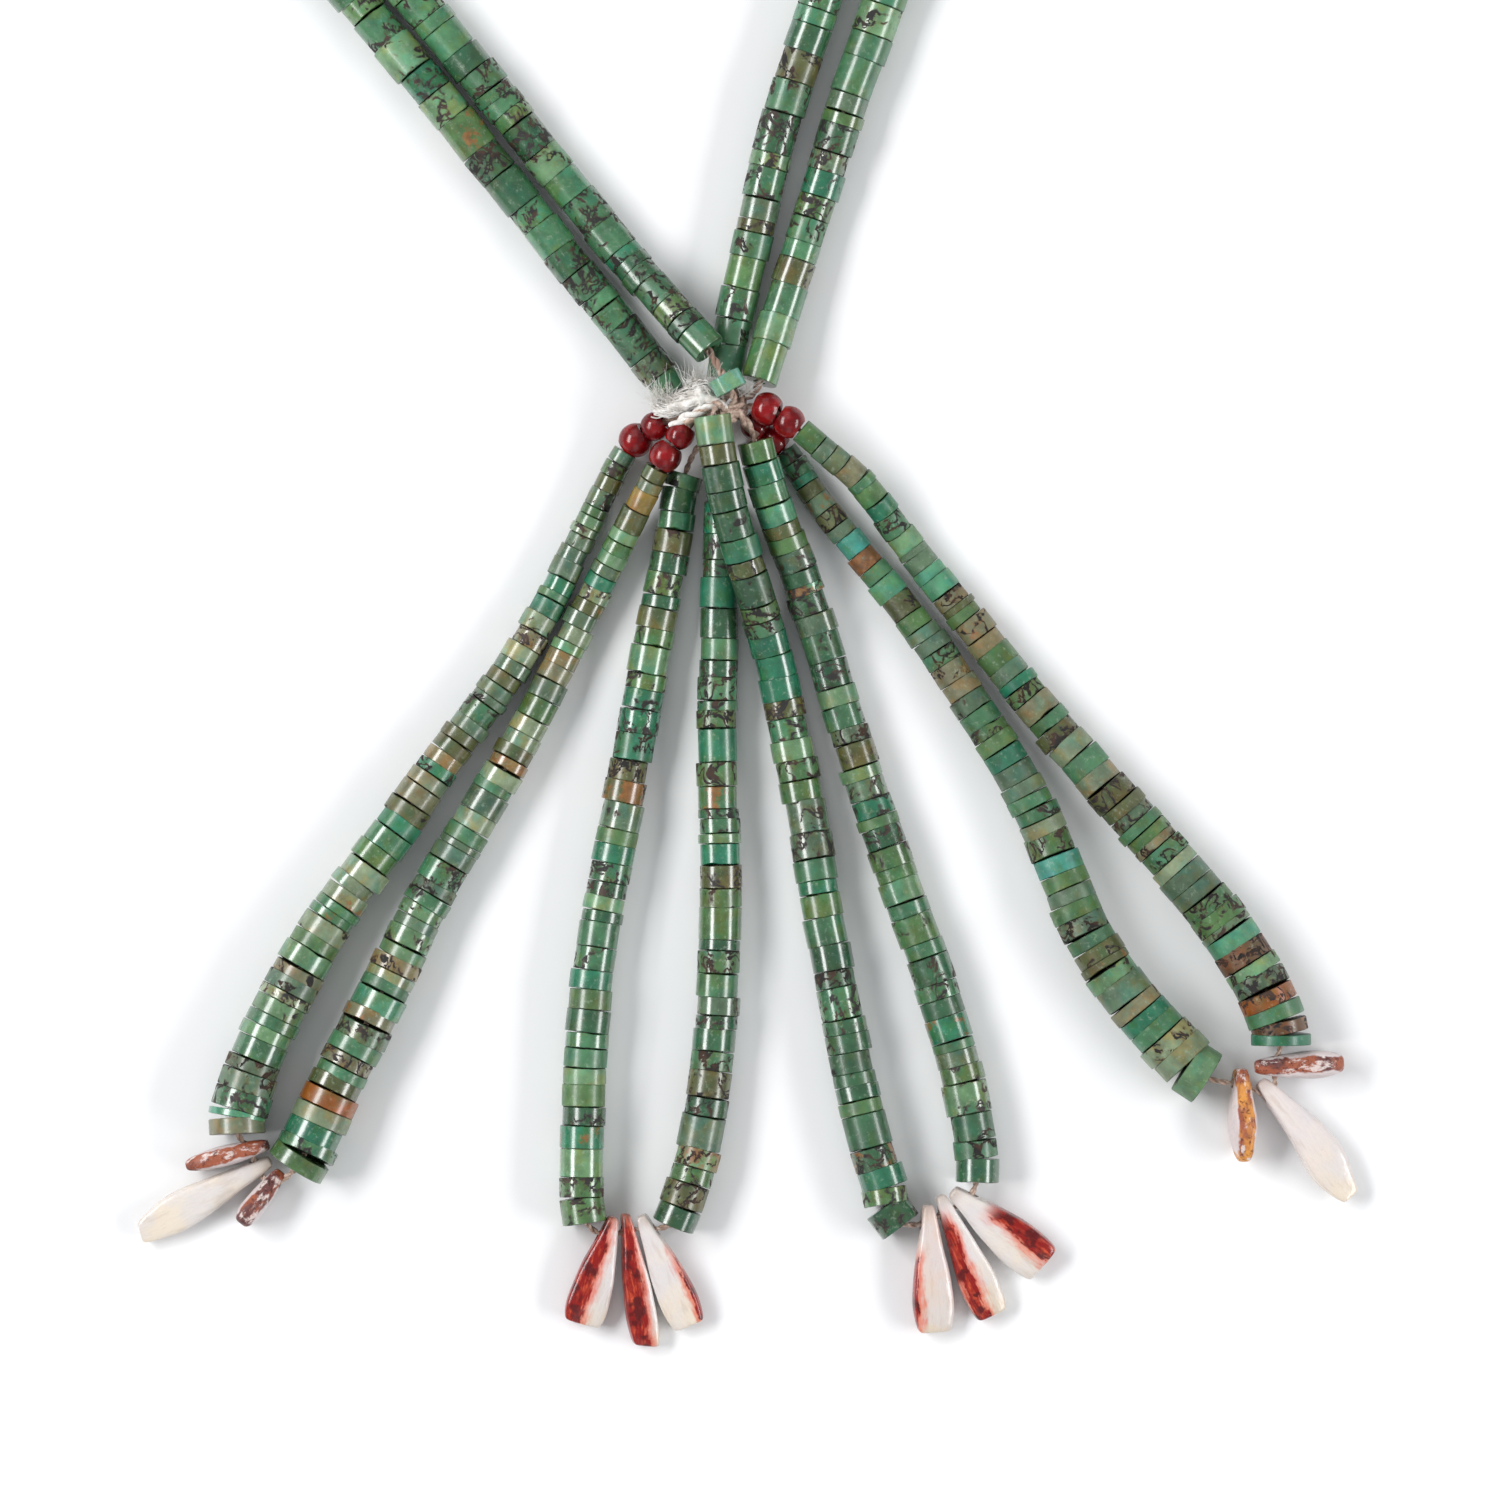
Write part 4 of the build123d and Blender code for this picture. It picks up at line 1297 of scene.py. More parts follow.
# Sections of a tab from its drilled end to its tip, as shares of its length, width and thickness. A slab
# is drilled through its faces and a fan from edge to edge.
SLAB: Sections = (
    (0.00, 0.24, 0.34), (0.02, 0.36, 0.46), (0.07, 0.46, 0.58), (0.18, 0.54, 0.70), (0.32, 0.64, 0.82),
    (0.48, 0.79, 0.94), (0.64, 0.93, 1.00), (0.80, 1.00, 1.00), (0.90, 0.96, 0.97), (0.97, 0.84, 0.86),
    (1.00, 0.64, 0.62),
)
FAN: Sections = (
    (0.00, 0.20, 0.62), (0.02, 0.27, 0.76), (0.06, 0.33, 0.85), (0.16, 0.42, 0.92), (0.30, 0.58, 0.98),
    (0.46, 0.77, 1.00), (0.62, 0.92, 1.00), (0.78, 1.00, 1.00), (0.92, 0.98, 0.95), (0.98, 0.92, 0.86),
    (1.00, 0.80, 0.70),
)

# Tabs: eased corner as a share of the thickness, widest place and slanted tip as shares of the length, gap
# to the surface and distance apart in the rough shell in mm, and what a loop's seed is multiplied by
TAB_CORNER_SHARE = 0.3
TAB_WIDEST = 0.86
TIP_SHARE = 0.3
TAB_SEAT = 0.05
TAB_SPREAD = 300
TAB_SEED_STEP = 7


@dataclass
class PendantLoop:
    """One of the four loops: two legs of discs on a thread, with shell tabs in its foot."""

    name: str
    near_tail: list[Point]
    near_leg: list[Point]
    far_leg: list[Point]
    far_tail: list[Point]
    legs: tuple[str, str]
    top_diameter: float
    foot_diameter: float
    disc_length: float
    mixture: Mixture
    tabs: list[TabShape]
    seed: int
    lean: float = 2.0
    features: Standouts = field(default_factory=dict)
    length_spread: float = 0.24
    veined: float = 0.52
    light: float = 0.93
    near: list[Point] = field(init=False)
    far: list[Point] = field(init=False)
    line: Line = field(init=False)

    def string_line(self) -> None:
        """Draws the loop's line from the knot round its foot and back."""
        self.near = laid(self.near_leg, self.top_diameter, self.foot_diameter)
        self.far = laid(self.far_leg, self.top_diameter, self.foot_diameter)
        foot = [tab.hole for tab in self.tabs]
        self.line = Line([*self.near_tail, *self.near, *foot, *reversed(self.far), *reversed(self.far_tail)])

    def build(self, pattern: DiscPattern, home: Home, stone: Material, twine: Material) -> None:
        """Strings both legs, hangs the tabs and lays the thread."""
        self.string_line()
        line = self.line
        spans = (
            (line.nearest(self.near[0]), line.nearest(self.near[-1]), self.top_diameter, self.foot_diameter),
            (line.nearest(self.far[-1]), line.nearest(self.far[0]), self.foot_diameter, self.top_diameter),
        )
        for i, (start, end, first, last) in enumerate(spans):
            label = self.legs[i]
            special = tuple(
                Feature(start + (end - start) * (at if i == 0 else 1 - at), tone, veins, rust)
                for at, tone, veins, rust in self.features.get(label, ())
            )
            DiscString(
                f"{self.name}_{label}_discs", line, start, end, [(start, first), (end, last)],
                self.disc_length, LOOP_BORE_DIAMETER, self.mixture, stone, (f"{self.name}_{label}_leg",),
                self.seed + i, special, length_spread=self.length_spread, lean=self.lean,
                veined=self.veined, light=self.light,
            ).build(pattern, home)
        lay_thread(self.name, line, LOOP_THREAD_DIAMETER, LOOP_PLY_STEP, home, twine)
        for i, tab in enumerate(self.tabs):
            self.hang(tab, i, home)

    def hang(self, tab: TabShape, index: int, home: Home) -> None:
        """Cuts, drills and hangs one tab, its tip resting on the surface."""
        name = f"{self.name}_tab_{index + 1}"
        draw = random.Random(self.seed * TAB_SEED_STEP + index)
        obj = self.blank(name, tab)
        self.shape(obj.data, tab, draw)
        roll = math.radians(tab.roll)
        eased = TAB_CORNER_SHARE * tab.thickness
        half_height = eased + (tab.width / 2 - eased) * math.cos(roll)
        half_height += (tab.thickness / 2 - eased) * abs(math.sin(roll))
        hole_at = self.line.nearest(tab.hole)
        hole = self.line.at(hole_at)
        below = TAB_WIDEST * tab.length - tab.hole_drop
        fall = math.asin((hole.z - half_height - TAB_SEAT) / below)
        turn = math.radians(tab.heading)
        down = Vector((math.cos(turn) * math.cos(fall), math.sin(turn) * math.cos(fall), -math.sin(fall)))
        level = down.cross(Vector((0, 0, 1))).normalized()
        upright = level.cross(down)
        thin = level * math.cos(roll) - upright * math.sin(roll)
        wide = down.cross(thin)
        place = Matrix((thin, wide, down)).transposed().to_4x4()
        place = Matrix.Translation(hole - down * tab.hole_drop) @ place
        obj.data.transform(place)
        self.drill(obj, hole, self.line.direction(hole_at), tab.width * 1.6)
        self.mark(obj, tab, place, draw)
        smoothed(obj, TAB_CRISP)
        home.settle(obj, (name,), tab.finish.make())

    def blank(self, name: str, tab: TabShape) -> bpy.types.Object:
        """Drawn-out blank of a tab: X through it, Y across it and Z along it from its drilled end."""
        clear_selection()
        bpy.ops.mesh.primitive_plane_add(size=1.0, location=(0, 0, 0))
        obj = bpy.context.active_object
        obj.name = name
        bpy.ops.object.mode_set(mode="EDIT")
        bpy.ops.mesh.select_all(action="SELECT")
        _, wide, thick = tab.sections[0]
        sizes = [(thick * tab.thickness, wide * tab.width)]
        bpy.ops.transform.resize(value=(sizes[0][0], sizes[0][1], 1.0), center_override=(0, 0, 0))
        bpy.ops.mesh.bevel(offset=TAB_CORNER_SHARE * min(sizes[0]), segments=3, affect="VERTICES")
        for (a0, _, _), (a1, w1, t1) in zip(tab.sections, tab.sections[1:]):
            rise = (a1 - a0) * tab.length
            bpy.ops.mesh.extrude_region_move(TRANSFORM_OT_translate={"value": (0, 0, rise)})
            size = (t1 * tab.thickness, w1 * tab.width)
            grow = (size[0] / sizes[-1][0], size[1] / sizes[-1][1], 1.0)
            bpy.ops.transform.resize(value=grow, center_override=(0, 0, a1 * tab.length))
            sizes.append(size)
        bpy.ops.mesh.select_all(action="SELECT")
        bpy.ops.mesh.normals_make_consistent(inside=False)
        bpy.ops.object.mode_set(mode="OBJECT")
        finer = obj.modifiers.new("finer", "SUBSURF")
        finer.levels = finer.render_levels = 2
        make_active(obj)
        bpy.ops.object.modifier_apply(modifier=finer.name)
        return obj

    def shape(self, mesh: Mesh, tab: TabShape, draw: random.Random) -> None:
        """Tapers, slants and bends a blank and makes its faces slightly uneven."""
        points = np.array([v.co[:] for v in mesh.vertices])
        across = points[:, 1] / (tab.width / 2)
        share = np.clip(points[:, 2] / tab.length, 0, 1)
        tip = np.clip((share - (1 - TIP_SHARE)) / TIP_SHARE, 0, 1)
        drawn_in = np.clip((share - tab.taper_from) / (1 - tab.taper_from), 0, 1)
        points[:, :2] *= (1 - tab.taper * drawn_in ** 2)[:, None]
        points[:, 2] += tab.slant * across * tip * tab.width * 0.5
        points[:, 1] += tab.sway * np.sin(share * math.tau * 0.8) * share
        waves = [draw.uniform(*ANY_TURN) for _ in range(4)]
        wobble = np.sin(share * 9 + waves[0]) * 0.02 + np.sin(share * 17 + across * 3 + waves[1]) * 0.012
        points[:, 0] *= 1 + wobble
        points[:, 1] *= 1 + wobble
        mesh.vertices.foreach_set("co", points.ravel())

    def mark(self, obj: bpy.types.Object, tab: TabShape, place: Matrix, draw: random.Random) -> None:
        """Gives every point of a drilled tab its place across, along and through the tab."""
        points = np.array([v.co[:] for v in obj.data.vertices])
        back = np.array(place.inverted())
        points = points @ back[:3, :3].T + back[:3, 3]
        across, along, through = points[:, 1] / (tab.width / 2), points[:, 2] / tab.length, points[:, 0]
        grown = np.stack([across, along, through / (tab.thickness / 2)], axis=1)
        cut = points + np.array([draw.uniform(-TAB_SPREAD, TAB_SPREAD) for _ in range(3)])
        carry(obj.data, grown=grown, cut=cut)

    def drill(self, obj: bpy.types.Object, hole: Vector, way: Vector, length: float) -> None:
        """Drills a tab across with a round hole."""
        clear_selection()
        bpy.ops.mesh.primitive_cylinder_add(vertices=20, radius=TAB_BORE_DIAMETER / 2, depth=length)
        cutter = bpy.context.active_object
        cutter.data.transform(Matrix.Translation(hole) @ way.to_track_quat("Z", "Y").to_matrix().to_4x4())
        make_active(obj)
        cut = obj.modifiers.new("hole", "BOOLEAN")
        cut.operation = "DIFFERENCE"
        cut.solver = "EXACT"
        cut.object = cutter
        bpy.ops.object.modifier_apply(modifier=cut.name)
        bpy.data.objects.remove(cutter)


DEEP_RED: Colour = from_srgb(138, 18, 12)
ORANGE_RED: Colour = from_srgb(214, 88, 52)
BLUSH: Colour = from_srgb(222, 160, 140)
PURPLE_BROWN: Colour = from_srgb(94, 42, 40)
RUST_ORANGE: Colour = from_srgb(158, 80, 48)
SAFFRON: Colour = from_srgb(222, 150, 62)
CREAM: Colour = from_srgb(224, 210, 190)
WARM_WHITE: Colour = from_srgb(226, 216, 204)
PINK_WHITE: Colour = from_srgb(218, 198, 188)
COOL_WHITE: Colour = from_srgb(222, 212, 208)

LOOP_1_TABS = [
    TabShape((-69.5, -112.3, 4.4), 195, 4, 13.0, 6.0, 3.4, 3.0, SLAB,
             RindFinish("shell_1_1", PURPLE_BROWN, RUST_ORANGE, 0.66, 0.58), taper=0.5, taper_from=0.4),
    TabShape((-68.9, -115.2, 1.8), 209, 78, 22.6, 6.3, 3.0, 2.4, FAN,
             ShellFinish("shell_1_2", -2.4, 0.3, RUST_ORANGE, BLUSH, body=WARM_WHITE, tip=CREAM),
             0.15, taper=0.42, taper_from=0.5),
    TabShape((-66.6, -118.3, 3.3), 232, 0, 10.0, 6.2, 3.5, 2.4, SLAB,
             RindFinish("shell_1_3", PURPLE_BROWN, RUST_ORANGE, 0.62, 0.6), taper=0.3),
]
LOOP_2_TABS = [
    TabShape((-16.05, -125.8, 3.4), 253.2, 84, 17.0, 6.6, 3.2, 3.0, FAN,
             ShellFinish("shell_2_1", -0.55, 0.6, DEEP_RED, ORANGE_RED)),
    TabShape((-13.1, -124.3, 3.4), 279.0, 80, 20.4, 4.7, 3.3, 2.6, FAN,
             ShellFinish("shell_2_2", -0.6, 0.95, DEEP_RED, ORANGE_RED), 0.25),
    TabShape((-10.1, -124.5, 3.4), 293.6, -82, 18.4, 6.0, 3.1, 2.4, FAN,
             ShellFinish("shell_2_3", -1.0, 0.26, DEEP_RED, ORANGE_RED, 0.2, tip=CREAM)),
]
LOOP_3_TABS = [
    TabShape((32.1, -123.5, 3.4), 273.2, 80, 19.4, 6.2, 3.2, 2.6, FAN,
             ShellFinish("shell_3_1", -1.0, 0.32, DEEP_RED, ORANGE_RED, 0.25, body=PINK_WHITE)),
    TabShape((34.6, -121.5, 3.4), 293.8, 82, 20.0, 5.8, 3.1, 2.6, FAN,
             ShellFinish("shell_3_2", -0.55, 0.42, DEEP_RED, ORANGE_RED, 0.05)),
    TabShape((37.7, -120.4, 3.4), 321.0, -80, 18.0, 7.4, 3.2, 2.6, FAN,
             ShellFinish("shell_3_3", -0.7, 0.5, DEEP_RED, ORANGE_RED, 0.25, tip=CREAM)),
]
LOOP_4_TABS = [
    TabShape((79.0, -102.6, 3.6), 272.4, -12, 14.1, 6.6, 4.0, 2.6, SLAB,
             RindFinish("shell_4_1", SAFFRON, RUST_ORANGE, 0.56, 0.55), taper=0.5, taper_from=0.5),
    TabShape((84.0, -105.1, 2.1), 310.6, 76, 22.3, 6.9, 3.2, 2.6, FAN,
             ShellFinish("shell_4_2", -2.4, 0.3, PURPLE_BROWN, BLUSH, body=COOL_WHITE, tip=CREAM),
             sway=0.9, taper=0.55, taper_from=0.55),
    TabShape((83.9, -99.8, 3.6), 2.5, 0, 13.5, 6.6, 4.2, 3.2, SLAB,
             RindFinish("shell_4_3", PURPLE_BROWN, RUST_ORANGE, 0.66, 0.5), taper=0.35),
]

# Discs that stand out, as shares of a leg from the knot to the foot, with their tone, matrix and rust
FEATURES_1: Standouts = {
    "outer": (
        (0.45, StoneTone.TAN, 0.0, 0.5), (0.78, StoneTone.GREIGE, 0.3, 0.4), (0.98, StoneTone.GREIGE, 0, 0),
    ),
    "inner": (
        (0.01, StoneTone.OLIVE, 0, 0), (0.04, StoneTone.AMBER, 0, 0), (0.27, StoneTone.TAN, 0.0, 0.3),
        (0.42, StoneTone.TAN, 0.0, 0.8), (0.78, StoneTone.GREIGE, 0.0, 0.6), (0.91, StoneTone.COPPER, 0, 0.3),
    ),
}
FEATURES_2: Standouts = {
    # Painted shade: the deep-toned disc near the top of loop 2's left leg stands for the shadow that loop 3's
    # left leg and the knot cast there
    "left": (
        (0.05, StoneTone.DEEP, 0.0, 0.0), (0.36, StoneTone.TEAL, 1.0, 0.0), (0.43, StoneTone.OLIVE, 0.4, 0.8),
    ),
    "right": (
        (0.12, StoneTone.TEAL, 0, 0), (0.36, StoneTone.LEAF, 1.0, 0.0), (0.41, StoneTone.SEA, 0.0, 0.7),
        (0.95, StoneTone.OLIVE, 1.0, 0.3),
    ),
}
FEATURES_3: Standouts = {
    "left": (
        (0.01, StoneTone.JADE, 0, 0), (0.04, StoneTone.OLIVE, 0, 0), (0.18, StoneTone.OLIVE, 1.0, 0.4),
        (0.35, StoneTone.TEAL, 0.0, 0.0), (0.42, StoneTone.JADE, 0.0, 0.0),
    ),
    "right": (
        (0.01, StoneTone.LEAF, 0, 0), (0.05, StoneTone.TEAL, 0, 0), (0.11, StoneTone.AQUA, 0, 0),
        (0.22, StoneTone.DEEP, 1.0, 0.0), (0.55, StoneTone.DEEP, 0.9, 0.4),
    ),
}
FEATURES_4: Standouts = {
    "inner": (
        (0.01, StoneTone.DEEP, 0.8, 0), (0.14, StoneTone.SKY, 0, 0), (0.19, StoneTone.BROWN, 0, 0.8),
        (0.66, StoneTone.SKY, 0.0, 0.3), (0.8, StoneTone.OLIVE, 0.0, 0.5),
    ),
    "outer": (
        (0.01, StoneTone.LEAF, 0, 0), (0.035, StoneTone.GREY_GREEN, 0, 0), (0.08, StoneTone.GREIGE, 0, 0),
        (0.27, StoneTone.AQUA, 0, 0), (0.33, StoneTone.GREIGE, 0.3, 0.7), (0.37, StoneTone.TAN, 0, 0.4),
        (0.87, StoneTone.BROWN, 0.6, 0.4), (0.94, StoneTone.COPPER, 0.5, 0.2),
        (0.97, StoneTone.BROWN, 0.5, 0.5),
    ),
}


@dataclass
class RedBeads:
    """The eight glass beads at the tops of the outer loops."""

    rings: int = 10
    sides: int = 24
    bore: float = 0.9
    mouth_ease: float = 0.12
    first_seed: int = 900
    sizes: tuple[tuple[float, float], ...] = (
        (4.4, 3.4), (5.2, 3.9), (4.2, 3.5), (4.9, 3.8), (4.5, 3.5), (4.5, 3.5), (5.1, 3.8), (4.9, 3.7),
    )

    def blank(self) -> Mesh:
        """One drilled bead."""
        radius = GLASS_DIAMETER / 2
        reach = math.asin(GLASS_LENGTH / 2 / radius)
        turns = [-reach + 2 * reach * i / self.rings for i in range(self.rings + 1)]
        mouth = GLASS_LENGTH / 2 - self.mouth_ease
        skin = [(radius * math.cos(turn), radius * math.sin(turn)) for turn in turns]
        return turned([(self.bore, -mouth), *skin, (self.bore, mouth), (self.bore, -mouth)], self.sides)

    def build(self, seats: list[tuple[Line, Point]], home: Home, glass: Material) -> None:
        """Sets a copy of the bead on each seat."""
        blank = self.blank()
        for i, ((line, seat), (wide, long)) in enumerate(zip(seats, self.sizes)):
            draw = random.Random(self.first_seed + i)
            mesh = blank.copy()
            shape = Matrix.Diagonal((wide / GLASS_DIAMETER, wide / GLASS_DIAMETER, long / GLASS_LENGTH, 1))
            turn = Matrix.Rotation(draw.uniform(*ANY_TURN), 4, "Z")
            mesh.transform(line.stand(line.nearest(seat)) @ turn @ shape)
            obj = object_of(f"red_bead_{i + 1}", mesh)
            smoothed(obj, BEAD_CRISP)
            home.settle(obj, (f"glass_bead_{i + 1}",), glass)


@dataclass
class Knot:
    """The knot of twine, the small disc on it and the cotton beside it."""

    turn_diameter: float = 1.4
    end_diameter: float = 1.5
    yarn_diameter: float = 1.5
    disc_seed: int = 7
    cotton_seed: int = 77

    def build_disc(self, line: Line, seat: Point, pattern: DiscPattern, home: Home, stone: Material) -> None:
        """The single small disc on the twine of the inner strand."""
        at = line.nearest(seat)
        start, end = at - KNOT_DISC_LENGTH / 2, at + KNOT_DISC_LENGTH / 2
        DiscString(
            "knot_disc_stone", line, start, end, [(start, KNOT_DISC_DIAMETER), (end, KNOT_DISC_DIAMETER)],
            KNOT_DISC_LENGTH, STRAND_BORE_DIAMETER, mixture(MINT=1), stone, ("knot_disc",), self.disc_seed,
            length_spread=0.0, lean=0.0, slip=0.0, veined=0.0, rusted=0.0,
        ).build(pattern, home)

    def build_twine(self, home: Home, twine: Material) -> None:
        """Turns of two-ply twine round the middle of the knot, with its loose ends."""
        tubes = []
        for routes, diameter in ((KNOT_TURNS, self.turn_diameter), (KNOT_ENDS, self.end_diameter)):
            for points in routes:
                tubes += plies(Line(points), diameter, KNOT_PLY_STEP, KNOT_PLY_SIDES)
        fibre_piece("knot_twine", tubes, KNOT_PLY_SIDES, TWINE_CRISP, home, ("twine_knot",), twine)

    def lock(self, spine: Line, count: int, spread: float, draw: random.Random) -> list[Tube]:
        """Fibres that lie loosely along a line.

        Args:
            spine: the middle of the lock.
            count: how many fibres.
            spread: how far they lie from the middle.
            draw: the draws to use.

        Returns:
            A tube for each fibre.
        """
        tubes = []
        for _ in range(count):
            start = draw.uniform(-0.05, 0.55) * spine.length
            end = min(max(start, 0) + draw.uniform(0.3, 0.6) * spine.length, spine.length)
            wander = np.zeros(3)
            turn = draw.uniform(*ANY_TURN)
            out = min(abs(draw.gauss(0, spread)), spread * 1.9)
            row = []
            for distance in np.linspace(max(start, 0), end, LOCK_POINTS):
                stand = np.array(spine.stand(distance))
                wander += np.array([draw.gauss(0, 0.1) for _ in range(3)])
                turn += LOCK_TWIST
                local = np.array([math.cos(turn) * out * 1.2, math.sin(turn) * out * 0.8, 0]) + wander
                row.append(stand[:3, :3] @ local + stand[:3, 3])
            tubes.append(tube_along(np.array(row), draw.uniform(*FIBRE_RADIUS_RANGE), FIBRE_SIDES))
        return tubes

    def wisps(self, count: int, low: Point, high: Point, way: Point, draw: random.Random) -> list[Tube]:
        """Fine curling fibres that stand off the tuft.

        Args:
            count: how many fibres.
            low: lowest corner of the box that they start in.
            high: its highest corner.
            way: the way that most of them go.
            draw: the draws to use.

        Returns:
            A tube for each fibre.
        """
        tubes = []
        for _ in range(count):
            root = np.array([draw.uniform(a, b) for a, b in zip(low, high)])
            going = np.array([draw.gauss(a, 0.42) for a in way])
            row = []
            for _ in range(WISP_POINTS):
                row.append(root.copy())
                going += np.array([draw.gauss(0, 0.2) for _ in range(3)])
                root = root + going * WISP_STEP
                root[2] = min(max(root[2], COTTON_LOWEST), COTTON_HIGHEST)
            tubes.append(tube_along(np.array(row), np.linspace(*WISP_RADII, WISP_POINTS), FIBRE_SIDES))
        return tubes

    def core(self) -> Tube:
        """The swollen, lumpy middle of the tuft."""
        spine = Line(COTTON_SPINE)
        stops = np.linspace(0, spine.length, CORE_RINGS)
        share = stops / spine.length
        middle = np.array([spine.at(stop) for stop in stops])
        girth = 0.25 + 0.85 * np.sin(np.pi * share) ** 0.7 + 0.3 * np.exp(-(((share - 0.7) / 0.14) ** 2))
        girth *= 1 + 0.13 * np.sin(share * 31) + 0.08 * np.sin(share * 57 + 1)
        body, quads = tube_along(middle, girth, CORE_SIDES)
        angle = np.tile(np.arange(CORE_SIDES) * 2 * np.pi / CORE_SIDES, CORE_RINGS)
        shares = np.repeat(share, CORE_SIDES)
        swell = 1 + 0.12 * np.sin(angle * 3 + shares * 22) + 0.08 * np.sin(angle * 5 - shares * 40)
        centres = np.repeat(middle, CORE_SIDES, axis=0)
        return centres + (body - centres) * swell[:, None], quads

    def build_cotton(self, home: Home, cotton: Material) -> None:
        """A tuft of loose cotton, the yarn that it comes from, and wisps that stand off it."""
        draw = random.Random(self.cotton_seed)
        tubes = []
        for route, count, spread in COTTON_LOCKS:
            tubes += self.lock(Line(route), count, spread, draw)
        for row in COTTON_WISPS:
            tubes += self.wisps(*row, draw)
        tuft = ("cotton_tuft",)
        fibre_piece("cotton_fibres", tubes, FIBRE_SIDES, COTTON_CRISP, home, tuft, cotton)
        fibre_piece("cotton_core", [self.core()], CORE_SIDES, COTTON_CRISP, home, (), cotton)
        yarn = plies(Line(COTTON_YARN), self.yarn_diameter, YARN_PLY_STEP, KNOT_PLY_SIDES)
        fibre_piece("cotton_yarn", yarn, KNOT_PLY_SIDES, TWINE_CRISP, home, (), cotton)


@dataclass
class Studio:
    """The pale surface, the soft light and the camera straight above."""

    lens: float = 300.0
    view_width: float = 225.0
    view_centre: tuple[float, float] = (5.25, -52.5)
    sensor: float = 36.0
    far_clip: float = 20.0
    floor_size: float = 6.0
    floor_tones: tuple[Colour, Colour] = ((0.86, 0.865, 0.875), (0.885, 0.89, 0.9))
    sky_tone: Colour = (0.95, 0.97, 1.0)
    ambient: float = 0.33
    boxes: tuple = (
        ("left_box", 166, 47, 1.15, (0.36, 0.95), 12.0),
        ("right_box", -9, 58, 1.15, (0.30, 0.95), 8.4),
        ("far_box", 100, 50, 1.5, (1.5, 0.9), 3.2),
        ("near_box", -90, 55, 1.6, (1.5, 0.8), 2.0),
    )

    def set_camera(self, home: Home) -> None:
        """A camera that looks straight down, with the top of the photo towards +Y."""
        data = bpy.data.cameras.new("camera")
        data.lens = self.lens
        data.sensor_width = self.sensor
        data.clip_end = self.far_clip
        camera = bpy.data.objects.new("camera", data)
        bpy.context.scene.collection.objects.link(camera)
        middle = home.matrix @ Vector((*self.view_centre, STRAND_DIAMETER / 2))
        camera.location = middle + Vector((0, 0, self.view_width * MM * self.lens / self.sensor))
        bpy.context.scene.camera = camera

    def light(self, name: str, place: Point, aim: Point, size: tuple[float, float], power: float) -> None:
        """One soft box.

        Args:
            name: of the light.
            place: where it stands, in metres.
            aim: what it points at, in metres.
            size: its width and height.
            power: in watts.
        """
        data = bpy.data.lights.new(name, "AREA")
        data.shape = "RECTANGLE"
        data.size, data.size_y = size
        data.energy = power
        lamp = bpy.data.objects.new(name, data)
        bpy.context.scene.collection.objects.link(lamp)
        back = (Vector(place) - Vector(aim)).normalized()
        side = Vector((0, 0, 1)).cross(back).normalized()
        up = back.cross(side)
        lamp.matrix_world = Matrix.Translation(place) @ Matrix((up, side, back)).transposed().to_4x4()

    def set_floor(self) -> None:
        """The surface under the necklace."""
        clear_selection()
        bpy.ops.mesh.primitive_plane_add(size=self.floor_size, location=(0, 0, 0))
        floor = bpy.context.active_object
        floor.name = "floor"
        material, board, shader = new_material("floor")
        tint = board.cloud(board.put("TexCoord").outputs["Object"], 30.0)
        colour = board.mix(tint, *self.floor_tones)
        board.feed(shader, {"Base Color": colour, "Roughness": 0.9, "Specular IOR Level": 0.1})
        floor.data.materials.append(material)

    def set_world(self) -> None:
        """Even light from all around."""
        world = bpy.data.worlds.new("world")
        world.use_nodes = True
        background = world.node_tree.nodes["Background"]
        background.inputs["Color"].default_value = opaque(self.sky_tone)
        background.inputs["Strength"].default_value = self.ambient
        bpy.context.scene.world = world

    def build(self, home: Home) -> None:
        """Sets the camera, the surface and the lights."""
        self.set_camera(home)
        self.set_floor()
        self.set_world()
        middle = home.matrix @ Vector((*self.view_centre, 0))
        for name, azimuth, slope, reach, size, power in self.boxes:
            turn, fall = math.radians(azimuth), math.radians(slope)
            way = Vector((math.cos(turn) * math.sin(fall), math.sin(turn) * math.sin(fall), math.cos(fall)))
            self.light(name, middle + way * reach, middle, size, power)
        bpy.context.scene.view_settings.view_transform = "Standard"


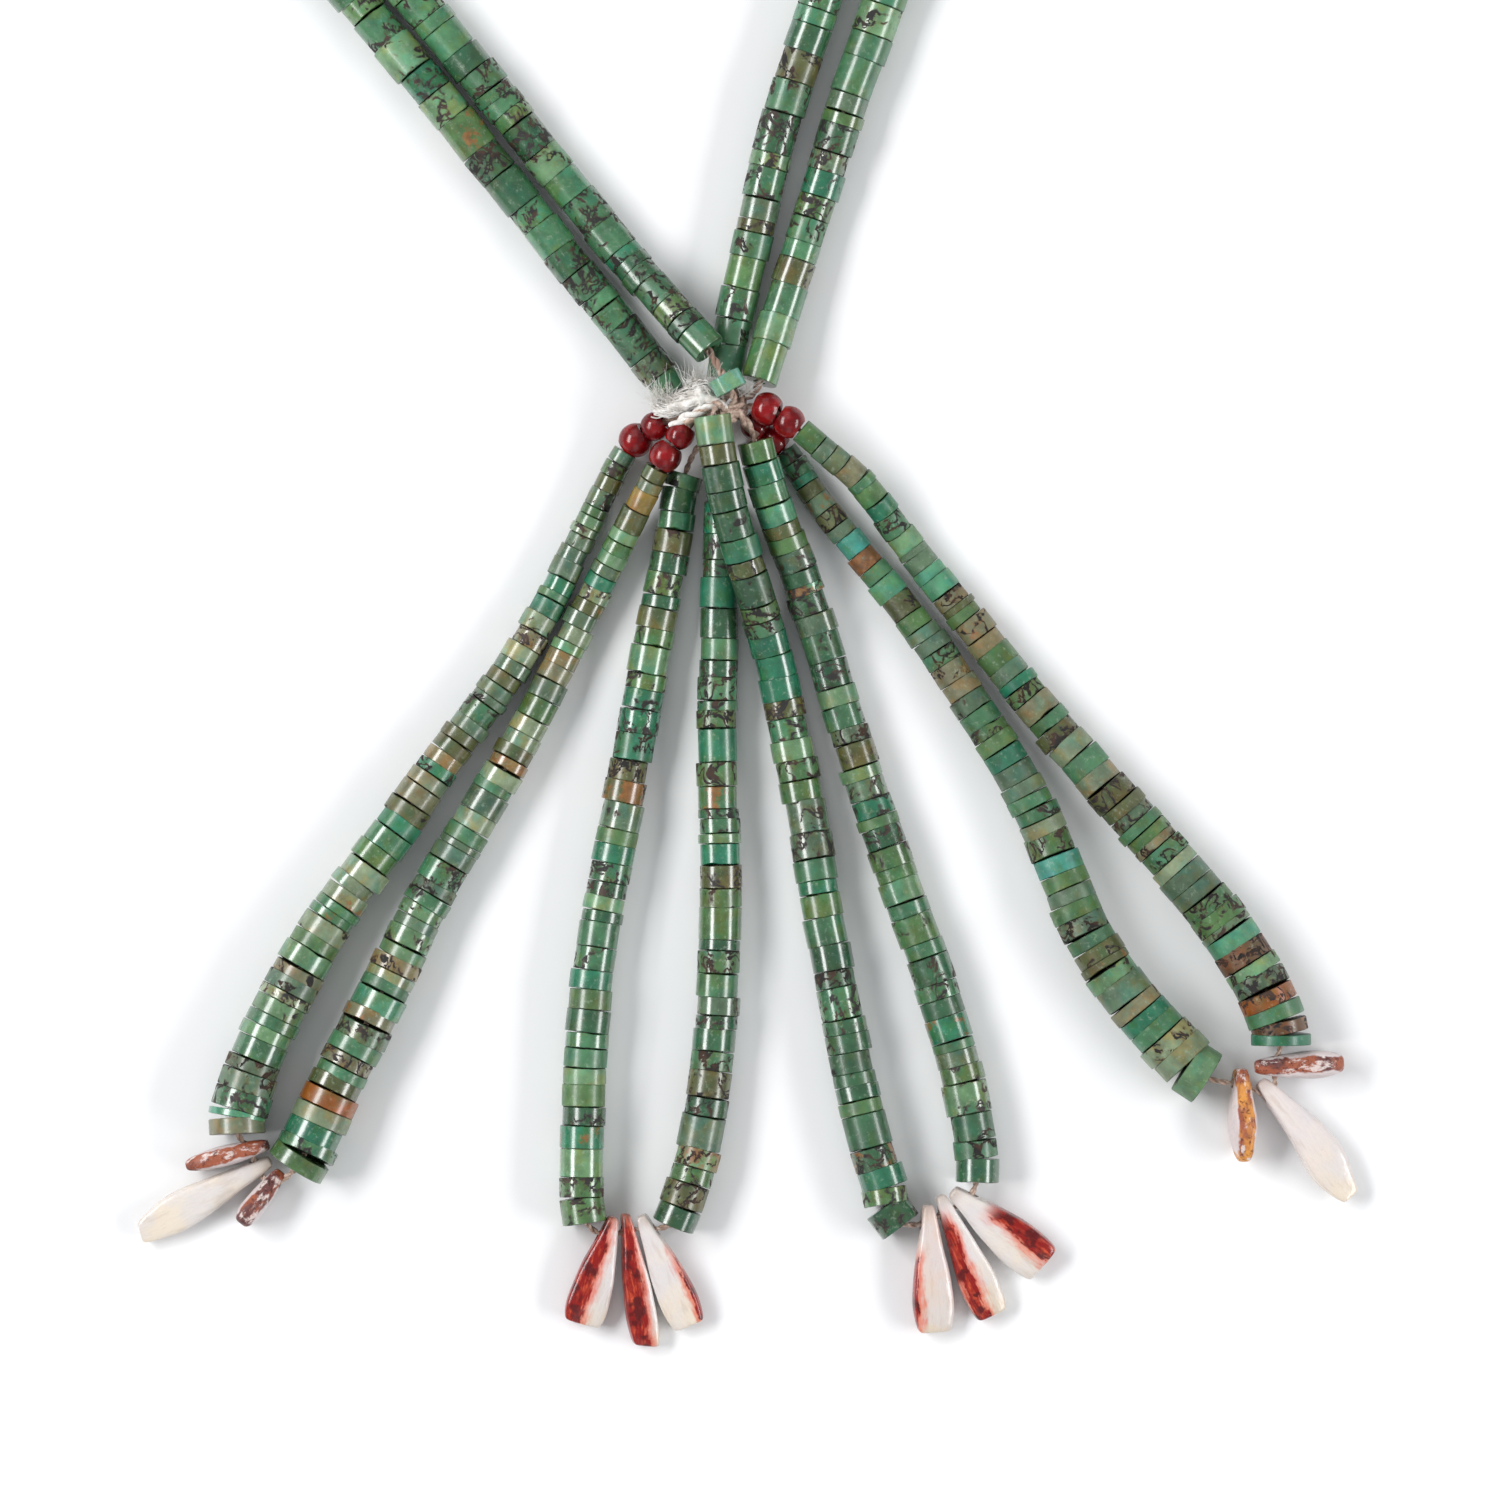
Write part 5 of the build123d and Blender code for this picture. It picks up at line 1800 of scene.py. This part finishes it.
def main() -> None:
    """Builds the necklace sub-assembly by sub-assembly and dresses it."""
    logging.basicConfig(level=logging.INFO, format="%(name)s: %(message)s")
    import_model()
    home = Home()
    Studio().build(home)

    polished = StoneFinish("polished_stone", 0.17, 0.75).make()
    satin = StoneFinish("satin_stone", 0.3, 0.1, 0.4).make()
    # The second colour of twine and cotton is their darker tone: stains, and painted shade for the hollows
    # between strands
    twine = FibreFinish("twine", from_srgb(226, 202, 186), from_srgb(150, 120, 104), 0.3).make()
    cotton = FibreFinish("cotton", from_srgb(252, 251, 248), from_srgb(216, 210, 202), 0.5).make()
    glass = GlassFinish().make()
    disc = DiscPattern()

    MainStrand("outer_strand", OUTER_LEFT_TAIL, OUTER_LEFT_FRONT, OUTER_RIGHT_FRONT, OUTER_RIGHT_TAIL,
               NECK_RADIUS, 101).build(disc, home, polished, twine)
    inner_strand = MainStrand("inner_strand", INNER_LEFT_TAIL, INNER_LEFT_FRONT, INNER_RIGHT_FRONT,
                              INNER_RIGHT_TAIL, NECK_RADIUS - STRAND_SPACING, 202)
    inner_strand.build(disc, home, polished, twine)
    inner = (INNER_LOOP_TOP_DIAMETER, INNER_LOOP_FOOT_DIAMETER, INNER_LOOP_DISC_LENGTH)
    outer = (OUTER_LOOP_TOP_DIAMETER, OUTER_LOOP_FOOT_DIAMETER, OUTER_LOOP_DISC_LENGTH)
    first = PendantLoop("loop_1", LOOP_1_OUTER_TAIL, LOOP_1_OUTER, LOOP_1_INNER, LOOP_1_INNER_TAIL,
                        ("outer", "inner"), *outer, LEFT_LOOP_MIX, LOOP_1_TABS, 310, 1.7, FEATURES_1,
                        veined=0.28, light=0.88)
    second = PendantLoop("loop_2", LOOP_2_LEFT_TAIL, LOOP_2_LEFT, LOOP_2_RIGHT, LOOP_2_RIGHT_TAIL,
                         ("left", "right"), *inner, INNER_LOOP_MIX, LOOP_2_TABS, 320, 1.6, FEATURES_2)
    third = PendantLoop("loop_3", LOOP_3_LEFT_TAIL, LOOP_3_LEFT, LOOP_3_RIGHT, LOOP_3_RIGHT_TAIL,
                        ("left", "right"), *inner, INNER_LOOP_MIX, LOOP_3_TABS, 330, 1.6, FEATURES_3,
                        light=0.88)
    fourth = PendantLoop("loop_4", LOOP_4_INNER_TAIL, LOOP_4_INNER, LOOP_4_OUTER, LOOP_4_OUTER_TAIL,
                         ("inner", "outer"), *outer, RIGHT_LOOP_MIX, LOOP_4_TABS, 340, 2.1, FEATURES_4,
                         veined=0.35, light=0.86)
    for loop in (first, second, third):
        loop.build(disc, home, polished, twine)
    fourth.build(disc, home, satin, twine)

    seats = [(first.line, p) for p in (*LOOP_1_OUTER_TAIL[2:], *LOOP_1_INNER_TAIL[2:])]
    seats += [(fourth.line, p) for p in (*LOOP_4_INNER_TAIL[1:], *LOOP_4_OUTER_TAIL[1:])]
    RedBeads().build(seats, home, glass)
    knot = Knot()
    knot.build_disc(inner_strand.line, INNER_LEFT_TAIL[2], disc, home, polished)
    knot.build_twine(home, twine)
    knot.build_cotton(home, cotton)


if __name__ == "__main__":
    main()
